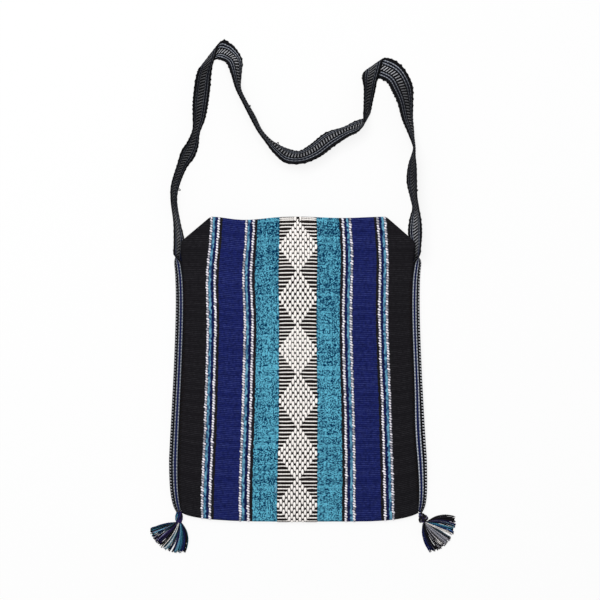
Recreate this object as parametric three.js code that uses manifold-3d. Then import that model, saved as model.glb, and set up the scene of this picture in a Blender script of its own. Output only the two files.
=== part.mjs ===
// A hand-woven striped shoulder bag, laid flat on a table with its strap loosely arranged above the mouth.
// One length of cloth is folded at the bottom into a back and a front. One long woven band is sewn between
// their edges as the side walls and runs free above the mouth as the strap. Its two ends are knotted into
// tassels at the bottom corners.
// Millimetres. The origin is on the table under the middle of the bag, +Y points to the mouth, +Z is up.
import * as THREE from "three";
import { mergeVertices } from "three/addons/utils/BufferGeometryUtils.js";
import Module from "manifold-3d";

const wasm = await Module();
wasm.setup();

// Bag
const BAG_WIDTH = 264.4; // seam to seam
const BAG_HEIGHT = 350; // mouth edge to bottom fold
const CLOTH = 1.6; // thickness of the woven cloth
const SEAM_HEIGHT = 13.5; // top of the front cloth at the side seams, above the table
const CROWN = 2; // extra height of the front cloth at its middle
const FOLD_RADIUS = 4; // outer radius of the bottom fold
const FOLD_RUN = 60; // length over which the front comes down to the bottom fold
const MOUTH_DIP = 2.2; // the mouth edge bows in this much at each half
const MOUTH_WAVE = 1.1; // ripple of the front cloth at the mouth edge
const MOUTH_WAVE_RUN = 70; // length over which that ripple dies out
const WAVE_LENGTH = 140; // across the mouth, from crest to crest

// Stripes of the cloth, from the middle outwards; a black border fills the rest up to the side seam
const BROCADE_HALF = 21.8; // half of the middle band with its diamonds
const TEAL_STRIPE = 26.4;
const FINE_LINE = 2.95; // each of the five lines in a group
const NAVY_STRIPE = 28;
const LINE_RELIEF = 0.5; // the two pale lines of a group stand this proud
const DIAMOND_RELIEF = 0.9;
const DIAMOND_LENGTH = 59.1; // waist to waist
const FIRST_WAIST = 5.5; // from the mouth edge

// How the cloth is drawn in at the mouth and spreads towards the bottom
const MOUTH_SHRINK = 0.054;
const BOTTOM_SPREAD = 0.063;
const CORNER_FOLD = 28; // how far down the side the turned-in top corner reaches
const CORNER_BOW = 1.1; // 1 makes the folded edge straight, more bows it out
const CORNER_FLARE = 7.6; // the front's border is pulled out this far at the folded corner
const FLARE_RUN = 30;
const BOTTOM_RISE = 8.5; // the bottom fold curves up this much at the corners
const BOTTOM_ROUND = 3.5; // power of that curve
const LEFT_TUCK = 7.5; // and is drawn in this much by the left knot
const RIGHT_TUCK = 3.5; // and by the right knot
const TUCK_RUN = 14;

// Band: side walls and strap
const BAND_WIDTH = 26;
const BAND = 1.8; // thickness
const SEAM_GAP = 0.4; // clearance between a sewn edge of the band and the cloth
const GATHER_RUN = 60; // length over which the band's end is gathered into its knot
const GATHERED_WIDTH = 7;
const GATHERED_EDGES = 5; // from edge to edge across the fold of the gathered end
const WALL_START = 3; // the lowest section of a side wall is this far above the band's end
const SEAM_END = 24; // the seams stop this far below the folded corner
const STRAP_OUT = 7.9; // the strap's foot, from which its route is measured, is this far outside that corner
const STRAP_DROP = 12; // and this far below it

// Knots and tassels
const KNOT_OUT = 4; // the knots sit this far outside the seam's bottom end
const KNOT_RISE = 1.5; // and start this far above it
const KNOT_LENGTH = 11.5;
const KNOT_RADIUS = 4.2;
const KNOT_NECK = 2.8; // radius at its two ends
const KNOT_WRAPS = 3;
const KNOT_GROOVE = 0.12; // depth of the grooves between wraps, as a share of the radius
const KNOT_GAP = 0.3;
const TASSEL_LENGTH = 35.5;
const TASSEL_LOCKS = 11; // each lock is a small bundle of yarn
const TASSEL_GROOVE = 0.86; // share of the length that the grooves between locks reach
const TASSEL_STEPS = 6;
const LOCK_HEIGHT = 5;
const LOCK_VALLEY = 0.45; // height of the grooves between locks, as a share of the locks' height
const LOCK_UNEVEN = 0.03; // locks are shorter by up to three times this share
const LEFT_KNOT_ANGLE = -92; // degrees on the table, from +X
const RIGHT_KNOT_ANGLE = -63;
const LEFT_FAN = [-169, -70]; // first and last tip
const RIGHT_FAN = [-86, 17];
const LEFT_BOW = [0.5, 4]; // how far the first and last lock bow outwards
const RIGHT_BOW = [4, 3.5];
const FAN_START = 1.2; // the yarn leaves its knot this many times as wide as the tips stand

// Yarn colours
const BLACK = new THREE.Color(0x1e1d20);
const NAVY = new THREE.Color(0x1c2457);
const TEAL = new THREE.Color(0x397a93);
const PALE = new THREE.Color(0xf3ede9);
const CHARCOAL = new THREE.Color(0x2f2f31);

const HALF_HEIGHT = BAG_HEIGHT / 2;
const GROUP = 5 * FINE_LINE;
const BORDER_START = BROCADE_HALF + TEAL_STRIPE + GROUP + NAVY_STRIPE + GROUP;
const SEAM = BAG_WIDTH / 2;
const BORDER = SEAM - BORDER_START;
const CORNER_Y = HALF_HEIGHT - CORNER_FOLD;

const clamp = THREE.MathUtils.clamp;
const lerp = THREE.MathUtils.lerp;
const radians = THREE.MathUtils.degToRad;

// The cloth's own outline

// Across the cloth, u is the distance from its middle warp thread when it is flat.
function spread(y) {
  return y > 0 ? 1 - (MOUTH_SHRINK * y) / HALF_HEIGHT : 1 - (BOTTOM_SPREAD * y) / HALF_HEIGHT;
}

function bottomEdge(u) {
  return -HALF_HEIGHT + BOTTOM_RISE * Math.abs(u / SEAM) ** BOTTOM_ROUND;
}

function mouthEdge(u) {
  const a = Math.abs(u);
  const inward = MOUTH_DIP * Math.sin((Math.PI * Math.min(a, BORDER_START)) / BORDER_START) ** 2;
  return HALF_HEIGHT - inward - CORNER_FOLD * Math.max(0, (a - BORDER_START) / BORDER) ** CORNER_BOW;
}

function sideways(u, y, flare) {
  const inBorder = Math.max(0, (Math.abs(u) - BORDER_START) / BORDER);
  const pulledOut = flare * inBorder ** 1.5 * Math.exp(Math.min(0, y - CORNER_Y) / FLARE_RUN);
  const tuck = u < 0 ? LEFT_TUCK : RIGHT_TUCK;
  const drawnIn = tuck * (u / SEAM) ** 4 * Math.exp((bottomEdge(u) - y) / TUCK_RUN);
  return u * spread(y) + Math.sign(u) * (pulledOut - drawnIn);
}

// Height of the front's outer face above the table, without its relief.
function frontHeight(u, y) {
  const risen = clamp((y - bottomEdge(u) - FOLD_RADIUS) / FOLD_RUN, 0, 1);
  const belowMouth = mouthEdge(u) - y;
  const ripple = Math.cos((2 * Math.PI * u) / WAVE_LENGTH) * Math.exp(-belowMouth / MOUTH_WAVE_RUN);
  const crowned = SEAM_HEIGHT + CROWN * (1 - (u / SEAM) ** 2);
  const full = crowned - MOUTH_WAVE * ripple * (1 - (u / SEAM) ** 4);
  return lerp(2 * FOLD_RADIUS, full, Math.sin((Math.PI / 2) * risen));
}

// Relief: the pale lines are ridges, and each diamond of the middle band is a low pyramid.
function paleLines() {
  const firstGroup = BROCADE_HALF + TEAL_STRIPE;
  const secondGroup = firstGroup + GROUP + NAVY_STRIPE;
  const inGroup = [1.5 * FINE_LINE, 4.5 * FINE_LINE];
  return [firstGroup, secondGroup].flatMap((group) => inGroup.map((line) => group + line));
}

function relief(u, v) {
  const a = Math.abs(u);
  const offLine = Math.min(...paleLines().map((line) => Math.abs(a - line)));
  const ridge = LINE_RELIEF * Math.max(0, 1 - offLine / (FINE_LINE / 2));
  const pastWaist = THREE.MathUtils.euclideanModulo(v - FIRST_WAIST, DIAMOND_LENGTH);
  const along = Math.abs(pastWaist / (DIAMOND_LENGTH / 2) - 1);
  const diamond = Math.max(0, 1 - a / BROCADE_HALF - along);
  return ridge + DIAMOND_RELIEF * diamond;
}

// Closed sheets

// A closed sheet between two grids of points, face[row][column] and back[row][column]. Each square is split
// along the diagonal whose ends differ least in crease(row, column), so that creases follow the edges.
function closedSheet(face, back, crease = () => 0) {
  const rows = face.length;
  const columns = face[0].length;
  const points = [...face.flat(), ...back.flat()];
  const at = (row, column) => row * columns + column;
  const under = (row, column) => rows * columns + at(row, column);
  const triangles = [];
  const square = (a, b, c, d) => triangles.push(a, b, c, a, c, d);
  for (let row = 0; row < rows - 1; row += 1) {
    for (let column = 0; column < columns - 1; column += 1) {
      const corners = [[row, column], [row + 1, column], [row + 1, column + 1], [row, column + 1]];
      const [a, b, c, d] = corners.map(([r, k]) => crease(r, k));
      const turned = Math.abs(b - d) < Math.abs(a - c) ? [...corners.slice(1), corners[0]] : corners;
      square(...turned.map(([r, k]) => at(r, k)));
      square(...turned.map(([r, k]) => under(r, k)).reverse());
    }
  }
  const lastRow = rows - 1;
  const lastColumn = columns - 1;
  for (let row = 0; row < lastRow; row += 1) {
    square(at(row, lastColumn), at(row + 1, lastColumn), under(row + 1, lastColumn), under(row, lastColumn));
    square(at(row + 1, 0), at(row, 0), under(row, 0), under(row + 1, 0));
  }
  for (let column = 0; column < lastColumn; column += 1) {
    square(at(0, column), at(0, column + 1), under(0, column + 1), under(0, column));
    square(at(lastRow, column + 1), at(lastRow, column), under(lastRow, column), under(lastRow, column + 1));
  }
  const geometry = new THREE.BufferGeometry().setFromPoints(points);
  return geometry.setIndex(triangles);
}

function solidOf(geometry) {
  const bare = new THREE.BufferGeometry().setAttribute("position", geometry.getAttribute("position"));
  bare.setIndex(geometry.index);
  const merged = mergeVertices(bare, 1e-4);
  return new wasm.Manifold(
    new wasm.Mesh({
      numProp: 3,
      vertProperties: merged.getAttribute("position").array,
      triVerts: new Uint32Array(merged.index.array),
    }),
  );
}

function geometryOf(solid) {
  const { vertProperties, triVerts } = solid.getMesh();
  const geometry = new THREE.BufferGeometry();
  geometry.setAttribute("position", new THREE.BufferAttribute(vertProperties, 3));
  return geometry.setIndex(new THREE.BufferAttribute(triVerts, 1));
}

function union(geometries) {
  return geometryOf(geometries.map(solidOf).reduce((whole, piece) => whole.add(piece)));
}

// Cloth

// Columns lie on the stripes' edges and on the crests of the pale lines.
function clothColumns() {
  const firstGroup = BROCADE_HALF + TEAL_STRIPE;
  const navyEnd = firstGroup + GROUP + NAVY_STRIPE;
  const half = [BROCADE_HALF / 2, BROCADE_HALF, firstGroup - TEAL_STRIPE / 2, firstGroup];
  half.push(navyEnd - NAVY_STRIPE / 2, navyEnd);
  paleLines().forEach((line) => half.push(line - FINE_LINE / 2, line, line + FINE_LINE / 2));
  half.push(BORDER_START + BORDER / 3, BORDER_START + (2 * BORDER) / 3, SEAM);
  half.sort((a, b) => a - b);
  return [...half.map((u) => -u).reverse(), 0, ...half];
}

const QUARTER_DIAMOND = DIAMOND_LENGTH / 4;
const FRONT_LENGTH = BAG_HEIGHT - FOLD_RADIUS;
const FOLD_STEPS = 4;
const BACK_STEPS = 5;

function frontRows() {
  const rows = [0];
  for (let v = FIRST_WAIST; v < FRONT_LENGTH - QUARTER_DIAMOND / 2; v += QUARTER_DIAMOND) rows.push(v);
  return [...rows, FRONT_LENGTH].map((v) => v / FRONT_LENGTH);
}

// The cloth from the front's mouth edge down, round the bottom fold and up the back to its mouth edge.
function clothGrids() {
  const columns = clothColumns();
  const outer = [];
  const inner = [];
  const creases = [];
  const addRow = (pointsAt) => {
    const made = columns.map(pointsAt);
    outer.push(made.map((point) => point.outer));
    inner.push(made.map((point) => point.inner));
    creases.push(made.map((point) => point.crease ?? 0));
  };
  frontRows().forEach((share) =>
    addRow((u) => {
      const y = lerp(mouthEdge(u), bottomEdge(u) + FOLD_RADIUS, share);
      const x = sideways(u, y, CORNER_FLARE);
      const z = frontHeight(u, y);
      const raised = relief(u, share * FRONT_LENGTH);
      return {
        outer: new THREE.Vector3(x, y, z + raised),
        inner: new THREE.Vector3(x, y, z - CLOTH),
        crease: raised,
      };
    }),
  );
  for (let step = 1; step <= FOLD_STEPS; step += 1) {
    const angle = Math.PI / 2 - (Math.PI * step) / FOLD_STEPS;
    addRow((u) => {
      const centre = bottomEdge(u) + FOLD_RADIUS;
      const around = (radius) => {
        const y = centre - radius * Math.cos(angle);
        return new THREE.Vector3(sideways(u, y, 0), y, FOLD_RADIUS + radius * Math.sin(angle));
      };
      return { outer: around(FOLD_RADIUS), inner: around(FOLD_RADIUS - CLOTH) };
    });
  }
  for (let step = 1; step <= BACK_STEPS; step += 1) {
    addRow((u) => {
      const y = lerp(bottomEdge(u) + FOLD_RADIUS, mouthEdge(u), step / BACK_STEPS);
      const x = sideways(u, y, 0);
      return { outer: new THREE.Vector3(x, y, 0), inner: new THREE.Vector3(x, y, CLOTH) };
    });
  }
  return { outer, inner, crease: (row, column) => creases[row][column] };
}

// A top corner of the cloth, turned in along the diagonal: a second layer on the cloth's inner face.
function cornerFlap(side, onFront) {
  const FLAP_STEPS = 5;
  const SUNK = 0.4; // the layers are one cloth, so they join
  const grid = { upper: [], lower: [] };
  for (let row = 0; row <= FLAP_STEPS; row += 1) {
    const towardsTip = lerp(0.03, 0.9, row / FLAP_STEPS);
    const places = [];
    for (let column = 0; column <= FLAP_STEPS; column += 1) {
      const onFold = BORDER_START + BORDER * lerp(0.02, 0.94, column / FLAP_STEPS);
      const u = lerp(onFold, BORDER_START, towardsTip);
      const y = lerp(mouthEdge(onFold), CORNER_Y, towardsTip);
      const x = sideways(side * u, y, onFront ? CORNER_FLARE : 0);
      const top = onFront ? frontHeight(u, y) - CLOTH + SUNK : 2 * CLOTH;
      const bottom = onFront ? frontHeight(u, y) - 2 * CLOTH : CLOTH - SUNK;
      places.push({ x, y, top, bottom });
    }
    if (side < 0) places.reverse();
    grid.upper.push(places.map(({ x, y, top }) => new THREE.Vector3(x, y, top)));
    grid.lower.push(places.map(({ x, y, bottom }) => new THREE.Vector3(x, y, bottom)));
  }
  return closedSheet(grid.upper, grid.lower);
}

function bagCloth() {
  const { outer, inner, crease } = clothGrids();
  const flaps = [-1, 1].flatMap((side) => [cornerFlap(side, true), cornerFlap(side, false)]);
  return union([closedSheet(outer, inner, crease), ...flaps]);
}

// Band

// A station of the band: its two edges, and how wide it is there. The crest line between them follows from
// the width, because the band folds outward where its edges are nearer than that.
function station(front, back, width, outward) {
  return { front, back, width, outward };
}

function outwardOf(side) {
  return new THREE.Vector3(side, 0, 0);
}

function crestOf(front, back, width, outward) {
  const middle = front.clone().lerp(back, 0.5);
  const across = front.clone().sub(back);
  const standsOff = Math.sqrt(Math.max(0, (width / 2) ** 2 - across.lengthSq() / 4));
  const direction = outward.clone().projectOnPlane(across.clone().normalize());
  return middle.addScaledVector(direction.normalize(), standsOff);
}

// Along a side wall the edges follow the seams of the front and the back cloth.
function wallStation(side, y) {
  const seam = side * SEAM;
  const front = new THREE.Vector3(sideways(seam, y, CORNER_FLARE), y, frontHeight(seam, y) - CLOTH / 2);
  const back = new THREE.Vector3(sideways(seam, y, 0), y, CLOTH / 2);
  const offEdge = CLOTH / 2 + SEAM_GAP;
  const aboveEnd = clamp((y - bandEnd(side).y) / GATHER_RUN, 0, 1);
  const width = lerp(GATHERED_WIDTH, BAND_WIDTH, Math.cbrt(aboveEnd));
  const crest = crestOf(front, back, width, outwardOf(side));
  [front, back].forEach((edge) => edge.add(crest.clone().sub(edge).setLength(offEdge)));
  return station(front, back, width - 2 * offEdge, outwardOf(side));
}

// Heights at which a side wall is drawn, closer together where the band turns.
function wallHeights(side) {
  const low = bandEnd(side).y + WALL_START;
  const shares = [0, 0.02, 0.05, 0.1, 0.17, 0.26, 0.4, 0.54, 0.68, 0.8, 0.88, 0.94, 1];
  return shares.map((share) => lerp(low, CORNER_Y - SEAM_END, share));
}

// The gathered end of the band at a bottom corner, where its knot starts.
function bandEnd(side) {
  const corner = sideways(side * SEAM, bottomEdge(SEAM), 0);
  return new THREE.Vector3(corner + side * KNOT_OUT, bottomEdge(SEAM) + KNOT_RISE, KNOT_RADIUS);
}

function endStation(side) {
  const place = bandEnd(side);
  const up = new THREE.Vector3(0, 0, GATHERED_EDGES / 2);
  return station(place.clone().add(up), place.clone().sub(up), GATHERED_WIDTH, outwardOf(side));
}

// The free strap lies on its back edge and leans. A point of its route is [across, along, lean]: across and
// along from the strap's foot on its own side of the bag, lean in degrees from flat on its left through
// upright. Where the strap is folded over itself, its two edges are given instead, each as [across, along,
// height].
const LEFT_ROUTE = [
  [6.4, -4, 56], [5.3, 6.4, 65], [5.1, 15.6, 66], [3, 33, 75], [-0.5, 59, 77], [0.5, 74, 73], [9, 99, 67],
  [15.5, 112, 54], [21, 123, 62], [25, 138, 73], [28, 153, 60], [30, 172, 50], [32.5, 193, 49],
  [33.8, 201.9, 53],
  [[28.2, 209.5, 21.5], [43.5, 215, 2.6]], [[28.7, 210.5, 18], [46.2, 223.6, 4.6]],
  [[29.3, 211.4, 13], [48.9, 233.4, 4.6]], [[30.1, 212.2, 9], [51.5, 240.9, 2.8]],
  [[33.1, 213.5, 5.5], [53.9, 243.2, 1]], [[40.1, 217.6, 1.6], [58.1, 244.4, 1]],
  [[47.6, 221.8, 1], [63, 241, 1]], [[54.1, 220.3, 6], [67.8, 237.6, 1]],
  [69, 218.5, 134], [71.1, 203.5, 116], [73.3, 187.3, 103], [80.3, 172, 101], [89.2, 156, 104],
  [98.2, 138.5, 102], [107.4, 127.3, 106], [117.6, 117.8, 118], [130.3, 109.8, 132],
];
const RIGHT_ROUTE = [
  [-138, 108.5, 128], [-122.2, 115.9, 136], [-104.4, 129.2, 137], [-84.6, 138.4, 121],
  [[-74.7, 135.6, 21.6], [-75.8, 150.5, 1]], [[-69.7, 139.7, 22], [-68, 153, 1]],
  [[-66.6, 144, 22.5], [-61.5, 155.6, 1]], [[-66.3, 149.1, 23], [-58.4, 159, 1]],
  [[-66.6, 155.8, 23.5], [-57.1, 163.5, 1]],
  [-61.5, 164.6, 69], [-60.7, 172.5, 66], [-59, 188, 57],
  [[-67.8, 198.3, 19.5], [-50.2, 197.2, 3.2]], [[-67.3, 202, 17], [-47.1, 208.1, 4.6]],
  [[-66.3, 205, 11.5], [-43.6, 220.2, 4.6]], [[-65.3, 206.8, 7.5], [-42.2, 223.3, 2.8]],
  [[-62.3, 206.1, 4.2], [-39.1, 223.7, 1]], [[-55.7, 202.9, 1.4], [-33.9, 222.6, 1]],
  [[-48.7, 200.4, 1], [-28.1, 219.8, 1]],
  [-29.3, 203.6, 172], [-21.5, 189.2, 166], [-18, 172.5, 137], [-15.6, 153, 122], [-11.5, 135.7, 108],
  [-9, 118.5, 92], [-10, 100, 72], [-10.6, 81.7, 66], [-8.3, 62, 75], [-6.3, 50.7, 76], [-6.6, 37, 62],
  [-6.8, 20.8, 55], [-4.7, 6.4, 69], [-4.1, -4, 72],
];
const STEPS_PER_POINT = 2;

// A point of the route on the bag: both edges where it is folded, otherwise its middle and its lean.
function placed(side, point) {
  const foot = side * (sideways(SEAM, CORNER_Y, CORNER_FLARE) + STRAP_OUT);
  const start = CORNER_Y - STRAP_DROP;
  const at = ([across, along, height]) => new THREE.Vector3(foot + across, start + along, height);
  if (point.length === 2) {
    const [front, back] = point.map(at);
    return { front, back, middle: front.clone().lerp(back, 0.5) };
  }
  return { middle: at(point), lean: radians(point[2]) };
}

// Both edges of a leaning point: half the width to each side of its middle, the lower one on the table.
function leaningEdges({ middle, lean }, behind, ahead) {
  const up = new THREE.Vector3(0, 0, 1);
  const along = ahead.middle.clone().sub(behind.middle).setZ(0).normalize();
  const edgewise = up.clone().cross(along).multiplyScalar(Math.cos(lean)).addScaledVector(up, Math.sin(lean));
  const reach = edgewise.multiplyScalar(BAND_WIDTH / 2);
  const raised = middle.clone().setZ(reach.z + (BAND / 2) * Math.abs(Math.cos(lean)));
  return { front: raised.clone().add(reach), back: raised.clone().sub(reach) };
}

function strapStations() {
  const left = LEFT_ROUTE.map((point) => placed(-1, point));
  const right = RIGHT_ROUTE.map((point) => placed(1, point));
  const points = [...left, ...right];
  const last = points.length - 1;
  const edges = points.map((point, index) => {
    const behind = points[Math.max(index - 1, 0)];
    const ahead = points[Math.min(index + 1, last)];
    return point.front ? point : leaningEdges(point, behind, ahead);
  });
  const fronts = new THREE.CatmullRomCurve3(edges.map((edge) => edge.front));
  const backs = new THREE.CatmullRomCurve3(edges.map((edge) => edge.back));
  const steps = last * STEPS_PER_POINT;
  return Array.from({ length: steps + 1 }, (_, step) => {
    const front = fronts.getPoint(step / steps);
    const back = backs.getPoint(step / steps);
    return station(front, back, front.distanceTo(back), new THREE.Vector3(0, 0, -1));
  });
}

function bandStations() {
  const wall = (side) => [endStation(side), ...wallHeights(side).map((y) => wallStation(side, y))];
  return [...wall(-1), ...strapStations(), ...wall(1).reverse()];
}

// Across the band: its edges, the crest between them slightly blunted, and a point on each flank.
function bandSection({ front, back, width, outward }) {
  const crest = crestOf(front, back, width, outward);
  const BLUNT = 0.12;
  const FLANK = 0.6;
  return [
    front,
    front.clone().lerp(crest, FLANK),
    crest.clone().lerp(front.clone().lerp(back, 0.5), BLUNT),
    back.clone().lerp(crest, FLANK),
    back,
  ];
}

function strapBand() {
  const sections = bandStations().map(bandSection);
  const last = sections.length - 1;
  const face = [];
  const under = [];
  sections.forEach((section, row) => {
    const ahead = sections[Math.min(row + 1, last)];
    const behind = sections[Math.max(row - 1, 0)];
    const normals = section.map((_, column) => {
      const along = ahead[column].clone().sub(behind[column]);
      const across = section[Math.min(column + 1, 4)].clone().sub(section[Math.max(column - 1, 0)]);
      return across.cross(along).setLength(BAND / 2);
    });
    face.push(section.map((point, column) => point.clone().add(normals[column])));
    under.push(section.map((point, column) => point.clone().sub(normals[column])));
  });
  return closedSheet(under, face);
}

// Knots and tassels

function heading(degrees) {
  return new THREE.Vector3(Math.cos(radians(degrees)), Math.sin(radians(degrees)), 0);
}

// A knot: a barrel of wrapped turns round the gathered band, its length along the given heading.
function knot(side, degrees) {
  const profile = [new THREE.Vector2(0, 0)];
  const perWrap = 4;
  for (let step = 0; step <= KNOT_WRAPS * perWrap; step += 1) {
    const share = step / (KNOT_WRAPS * perWrap);
    const barrel = lerp(KNOT_NECK, KNOT_RADIUS, Math.sin(Math.PI * share));
    const groove = 1 - KNOT_GROOVE * Math.cos(Math.PI * KNOT_WRAPS * share) ** 2;
    profile.push(new THREE.Vector2(barrel * groove, KNOT_LENGTH * share));
  }
  profile.push(new THREE.Vector2(0, KNOT_LENGTH));
  const geometry = new THREE.LatheGeometry(profile, 10);
  const start = knotStart(side, degrees);
  geometry.rotateZ(radians(degrees) - Math.PI / 2);
  return geometry.translate(start.x, start.y, start.z);
}

function knotStart(side, degrees) {
  const tippedBack = (KNOT_NECK + BAND / 2) * Math.abs(Math.cos(radians(degrees)));
  return bandEnd(side).addScaledVector(heading(degrees), KNOT_GAP + tippedBack);
}

// The loose yarn below a knot: one bundle at the knot that fans out over the table into separate locks, each
// a ridge that runs out to its own tip, with the grooves between them ending short of the tips.
function tassel(side, knotDegrees, [fanFrom, fanTo], [firstBow, lastBow]) {
  const root = knotStart(side, knotDegrees).addScaledVector(heading(knotDegrees), KNOT_LENGTH + KNOT_GAP);
  const acrossKnot = heading(knotDegrees + 90);
  const columns = 2 * TASSEL_LOCKS;
  const upper = [];
  const lower = [];
  for (let row = 0; row <= TASSEL_STEPS; row += 1) {
    const out = row / TASSEL_STEPS;
    const settled = Math.min(1, 2.2 * out);
    const turned = Math.sin((Math.PI / 2) * Math.min(1, 1.6 * out));
    const above = [];
    const below = [];
    for (let column = 0; column <= columns; column += 1) {
      const place = column / columns;
      const onCrest = column % 2 === 1;
      const length = TASSEL_LENGTH * (onCrest ? 1 - LOCK_UNEVEN * ((column * 3) % 4) : TASSEL_GROOVE);
      const degrees = lerp(knotDegrees, lerp(fanFrom, fanTo, place), lerp(FAN_START, 1, turned));
      const inBundle = KNOT_NECK * (2 * place - 1) * (1 - out);
      const point = root.clone().addScaledVector(acrossKnot, inBundle);
      point.addScaledVector(heading(degrees), length * out);
      point.addScaledVector(heading(degrees + 90), lerp(-firstBow, lastBow, place) * 4 * out * (1 - out));
      const bundleHeight = KNOT_NECK * (0.35 + 0.65 * Math.sin(Math.PI * place));
      const lockHeight = LOCK_HEIGHT * (onCrest ? 1 : LOCK_VALLEY) * (1 - 0.5 * out);
      above.push(point.clone().setZ(lerp(root.z + bundleHeight, lockHeight, settled)));
      below.push(point.clone().setZ(lerp(root.z - bundleHeight, 0, settled)));
    }
    upper.push(above);
    lower.push(below);
  }
  return closedSheet(upper, lower);
}

// Colour by place: the yarn of a stripe, and pale diamonds on the dark ground of the middle band.
function stripeYarn(u, v) {
  const a = Math.abs(u);
  if (a < BROCADE_HALF) return relief(u, v) > 0 ? PALE : BLACK;
  const group = [BLACK, PALE, NAVY, TEAL, PALE].map((yarn) => [FINE_LINE, yarn]);
  const stripes = [[TEAL_STRIPE, TEAL], ...group, [NAVY_STRIPE, NAVY], ...group];
  let edge = BROCADE_HALF;
  for (const [width, yarn] of stripes) {
    edge += width;
    if (a < edge) return yarn;
  }
  return BLACK;
}

function colourCloth(geometry) {
  const position = geometry.getAttribute("position");
  const colours = new Float32Array(position.count * 3);
  const corner = new THREE.Vector3();
  for (let first = 0; first < position.count; first += 3) {
    const middle = new THREE.Vector3();
    for (let index = first; index < first + 3; index += 1) {
      middle.addScaledVector(corner.fromBufferAttribute(position, index), 1 / 3);
    }
    const u = middle.x / spread(middle.y);
    const v = FRONT_LENGTH * ((mouthEdge(u) - middle.y) / (mouthEdge(u) - bottomEdge(u) - FOLD_RADIUS));
    for (let index = first; index < first + 3; index += 1) stripeYarn(u, v).toArray(colours, index * 3);
  }
  return geometry.setAttribute("color", new THREE.BufferAttribute(colours, 3));
}

// Assembly

function piece(name, geometry, look) {
  const material = new THREE.MeshStandardMaterial({ roughness: 0.95, metalness: 0, ...look });
  const mesh = new THREE.Mesh(geometry, material);
  geometry.computeVertexNormals();
  mesh.name = name;
  return mesh;
}

const bag = new THREE.Group();
bag.add(piece("bag_cloth", colourCloth(bagCloth().toNonIndexed()), { vertexColors: true }));
bag.add(piece("strap_band", strapBand(), { color: CHARCOAL }));
bag.add(piece("left_knot", knot(-1, LEFT_KNOT_ANGLE), { color: CHARCOAL }));
bag.add(piece("right_knot", knot(1, RIGHT_KNOT_ANGLE), { color: CHARCOAL }));
bag.add(piece("left_tassel", tassel(-1, LEFT_KNOT_ANGLE, LEFT_FAN, LEFT_BOW), { color: TEAL }));
bag.add(piece("right_tassel", tassel(1, RIGHT_KNOT_ANGLE, RIGHT_FAN, RIGHT_BOW), { color: TEAL }));

export default bag;
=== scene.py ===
# %% [markdown]
# # A hand-woven shoulder bag, lying on a table
# The bag is one strip of warp-striped cloth, folded at the bottom, and one long narrow band that is sewn in
# as both side walls and runs on above the mouth as the shoulder strap. The packed solids are the measure of
# it, and this lesson dresses them in yarn: each surface is an array of points worked out from a formula, so
# ribs, raised diamonds, twisted strap and knotted ends are real shapes, and the colours follow the weave.

import bpy
import numpy as np
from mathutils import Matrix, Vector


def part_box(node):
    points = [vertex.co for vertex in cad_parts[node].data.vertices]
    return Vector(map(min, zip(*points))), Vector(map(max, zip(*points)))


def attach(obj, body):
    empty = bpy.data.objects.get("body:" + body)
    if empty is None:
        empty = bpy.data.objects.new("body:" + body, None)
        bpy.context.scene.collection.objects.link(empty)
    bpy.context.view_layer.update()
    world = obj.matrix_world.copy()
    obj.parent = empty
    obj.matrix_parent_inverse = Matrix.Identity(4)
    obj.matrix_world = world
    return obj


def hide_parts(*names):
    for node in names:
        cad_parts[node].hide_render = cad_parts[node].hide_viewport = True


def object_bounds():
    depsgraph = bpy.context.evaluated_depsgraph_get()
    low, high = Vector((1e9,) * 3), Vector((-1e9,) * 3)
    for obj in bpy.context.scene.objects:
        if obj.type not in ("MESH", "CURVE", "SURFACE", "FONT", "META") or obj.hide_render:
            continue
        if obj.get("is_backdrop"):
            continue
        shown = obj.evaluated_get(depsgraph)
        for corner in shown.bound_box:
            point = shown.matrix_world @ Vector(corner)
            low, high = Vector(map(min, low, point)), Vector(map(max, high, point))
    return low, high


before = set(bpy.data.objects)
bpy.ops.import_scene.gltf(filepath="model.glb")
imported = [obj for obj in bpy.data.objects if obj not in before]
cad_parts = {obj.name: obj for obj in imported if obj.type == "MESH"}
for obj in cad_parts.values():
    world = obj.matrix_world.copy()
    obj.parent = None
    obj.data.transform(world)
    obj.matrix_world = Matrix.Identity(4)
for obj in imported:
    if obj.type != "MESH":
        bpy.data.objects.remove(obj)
cad_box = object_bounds()
MM = 0.001  # lengths below are millimetres
print("solids:", ", ".join(sorted(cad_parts)))

# %% [markdown]
# ## The camera
# The photograph looks straight down on the bag, with the mouth towards the top of the picture. A long lens
# far away keeps the leaning strap from growing towards the camera, as a flat catalogue picture does.

# %% Camera
IMAGE_SIDE = 600  # pixels
PIXEL = 1.1494  # of the bag's front under one pixel
LENS = 150.0
SENSOR = 36.0
LOOK_AT = np.array([2.64, 79.3, 12.0])

distance = IMAGE_SIDE * PIXEL * LENS / SENSOR
camera = bpy.data.objects.new("camera", bpy.data.cameras.new("camera"))
camera.data.lens = LENS
camera.data.sensor_width = SENSOR
camera.location = (LOOK_AT + [0, 0, distance]) * MM
bpy.context.scene.collection.objects.link(camera)
bpy.context.scene.camera = camera
print(f"camera {distance * MM:.2f} m above the cloth")

# %% [markdown]
# ## From arrays to pieces
# A piece is a list of points and groups of faces, where a face is a row of point numbers. Whole arrays go
# into the mesh in one call each, which is quick even for a hundred thousand points. A piece can carry a map
# of the weave (its place on the flat cloth, in millimetres) and a yarn colour for each point.

# %% Mesh helpers
def squares(index):
    """The squares of a grid of point numbers, each going down a row, across a column and back up."""
    corners = [index[:-1, :-1], index[1:, :-1], index[1:, 1:], index[:-1, 1:]]
    return np.stack(corners, -1).reshape(-1, 4)


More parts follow.
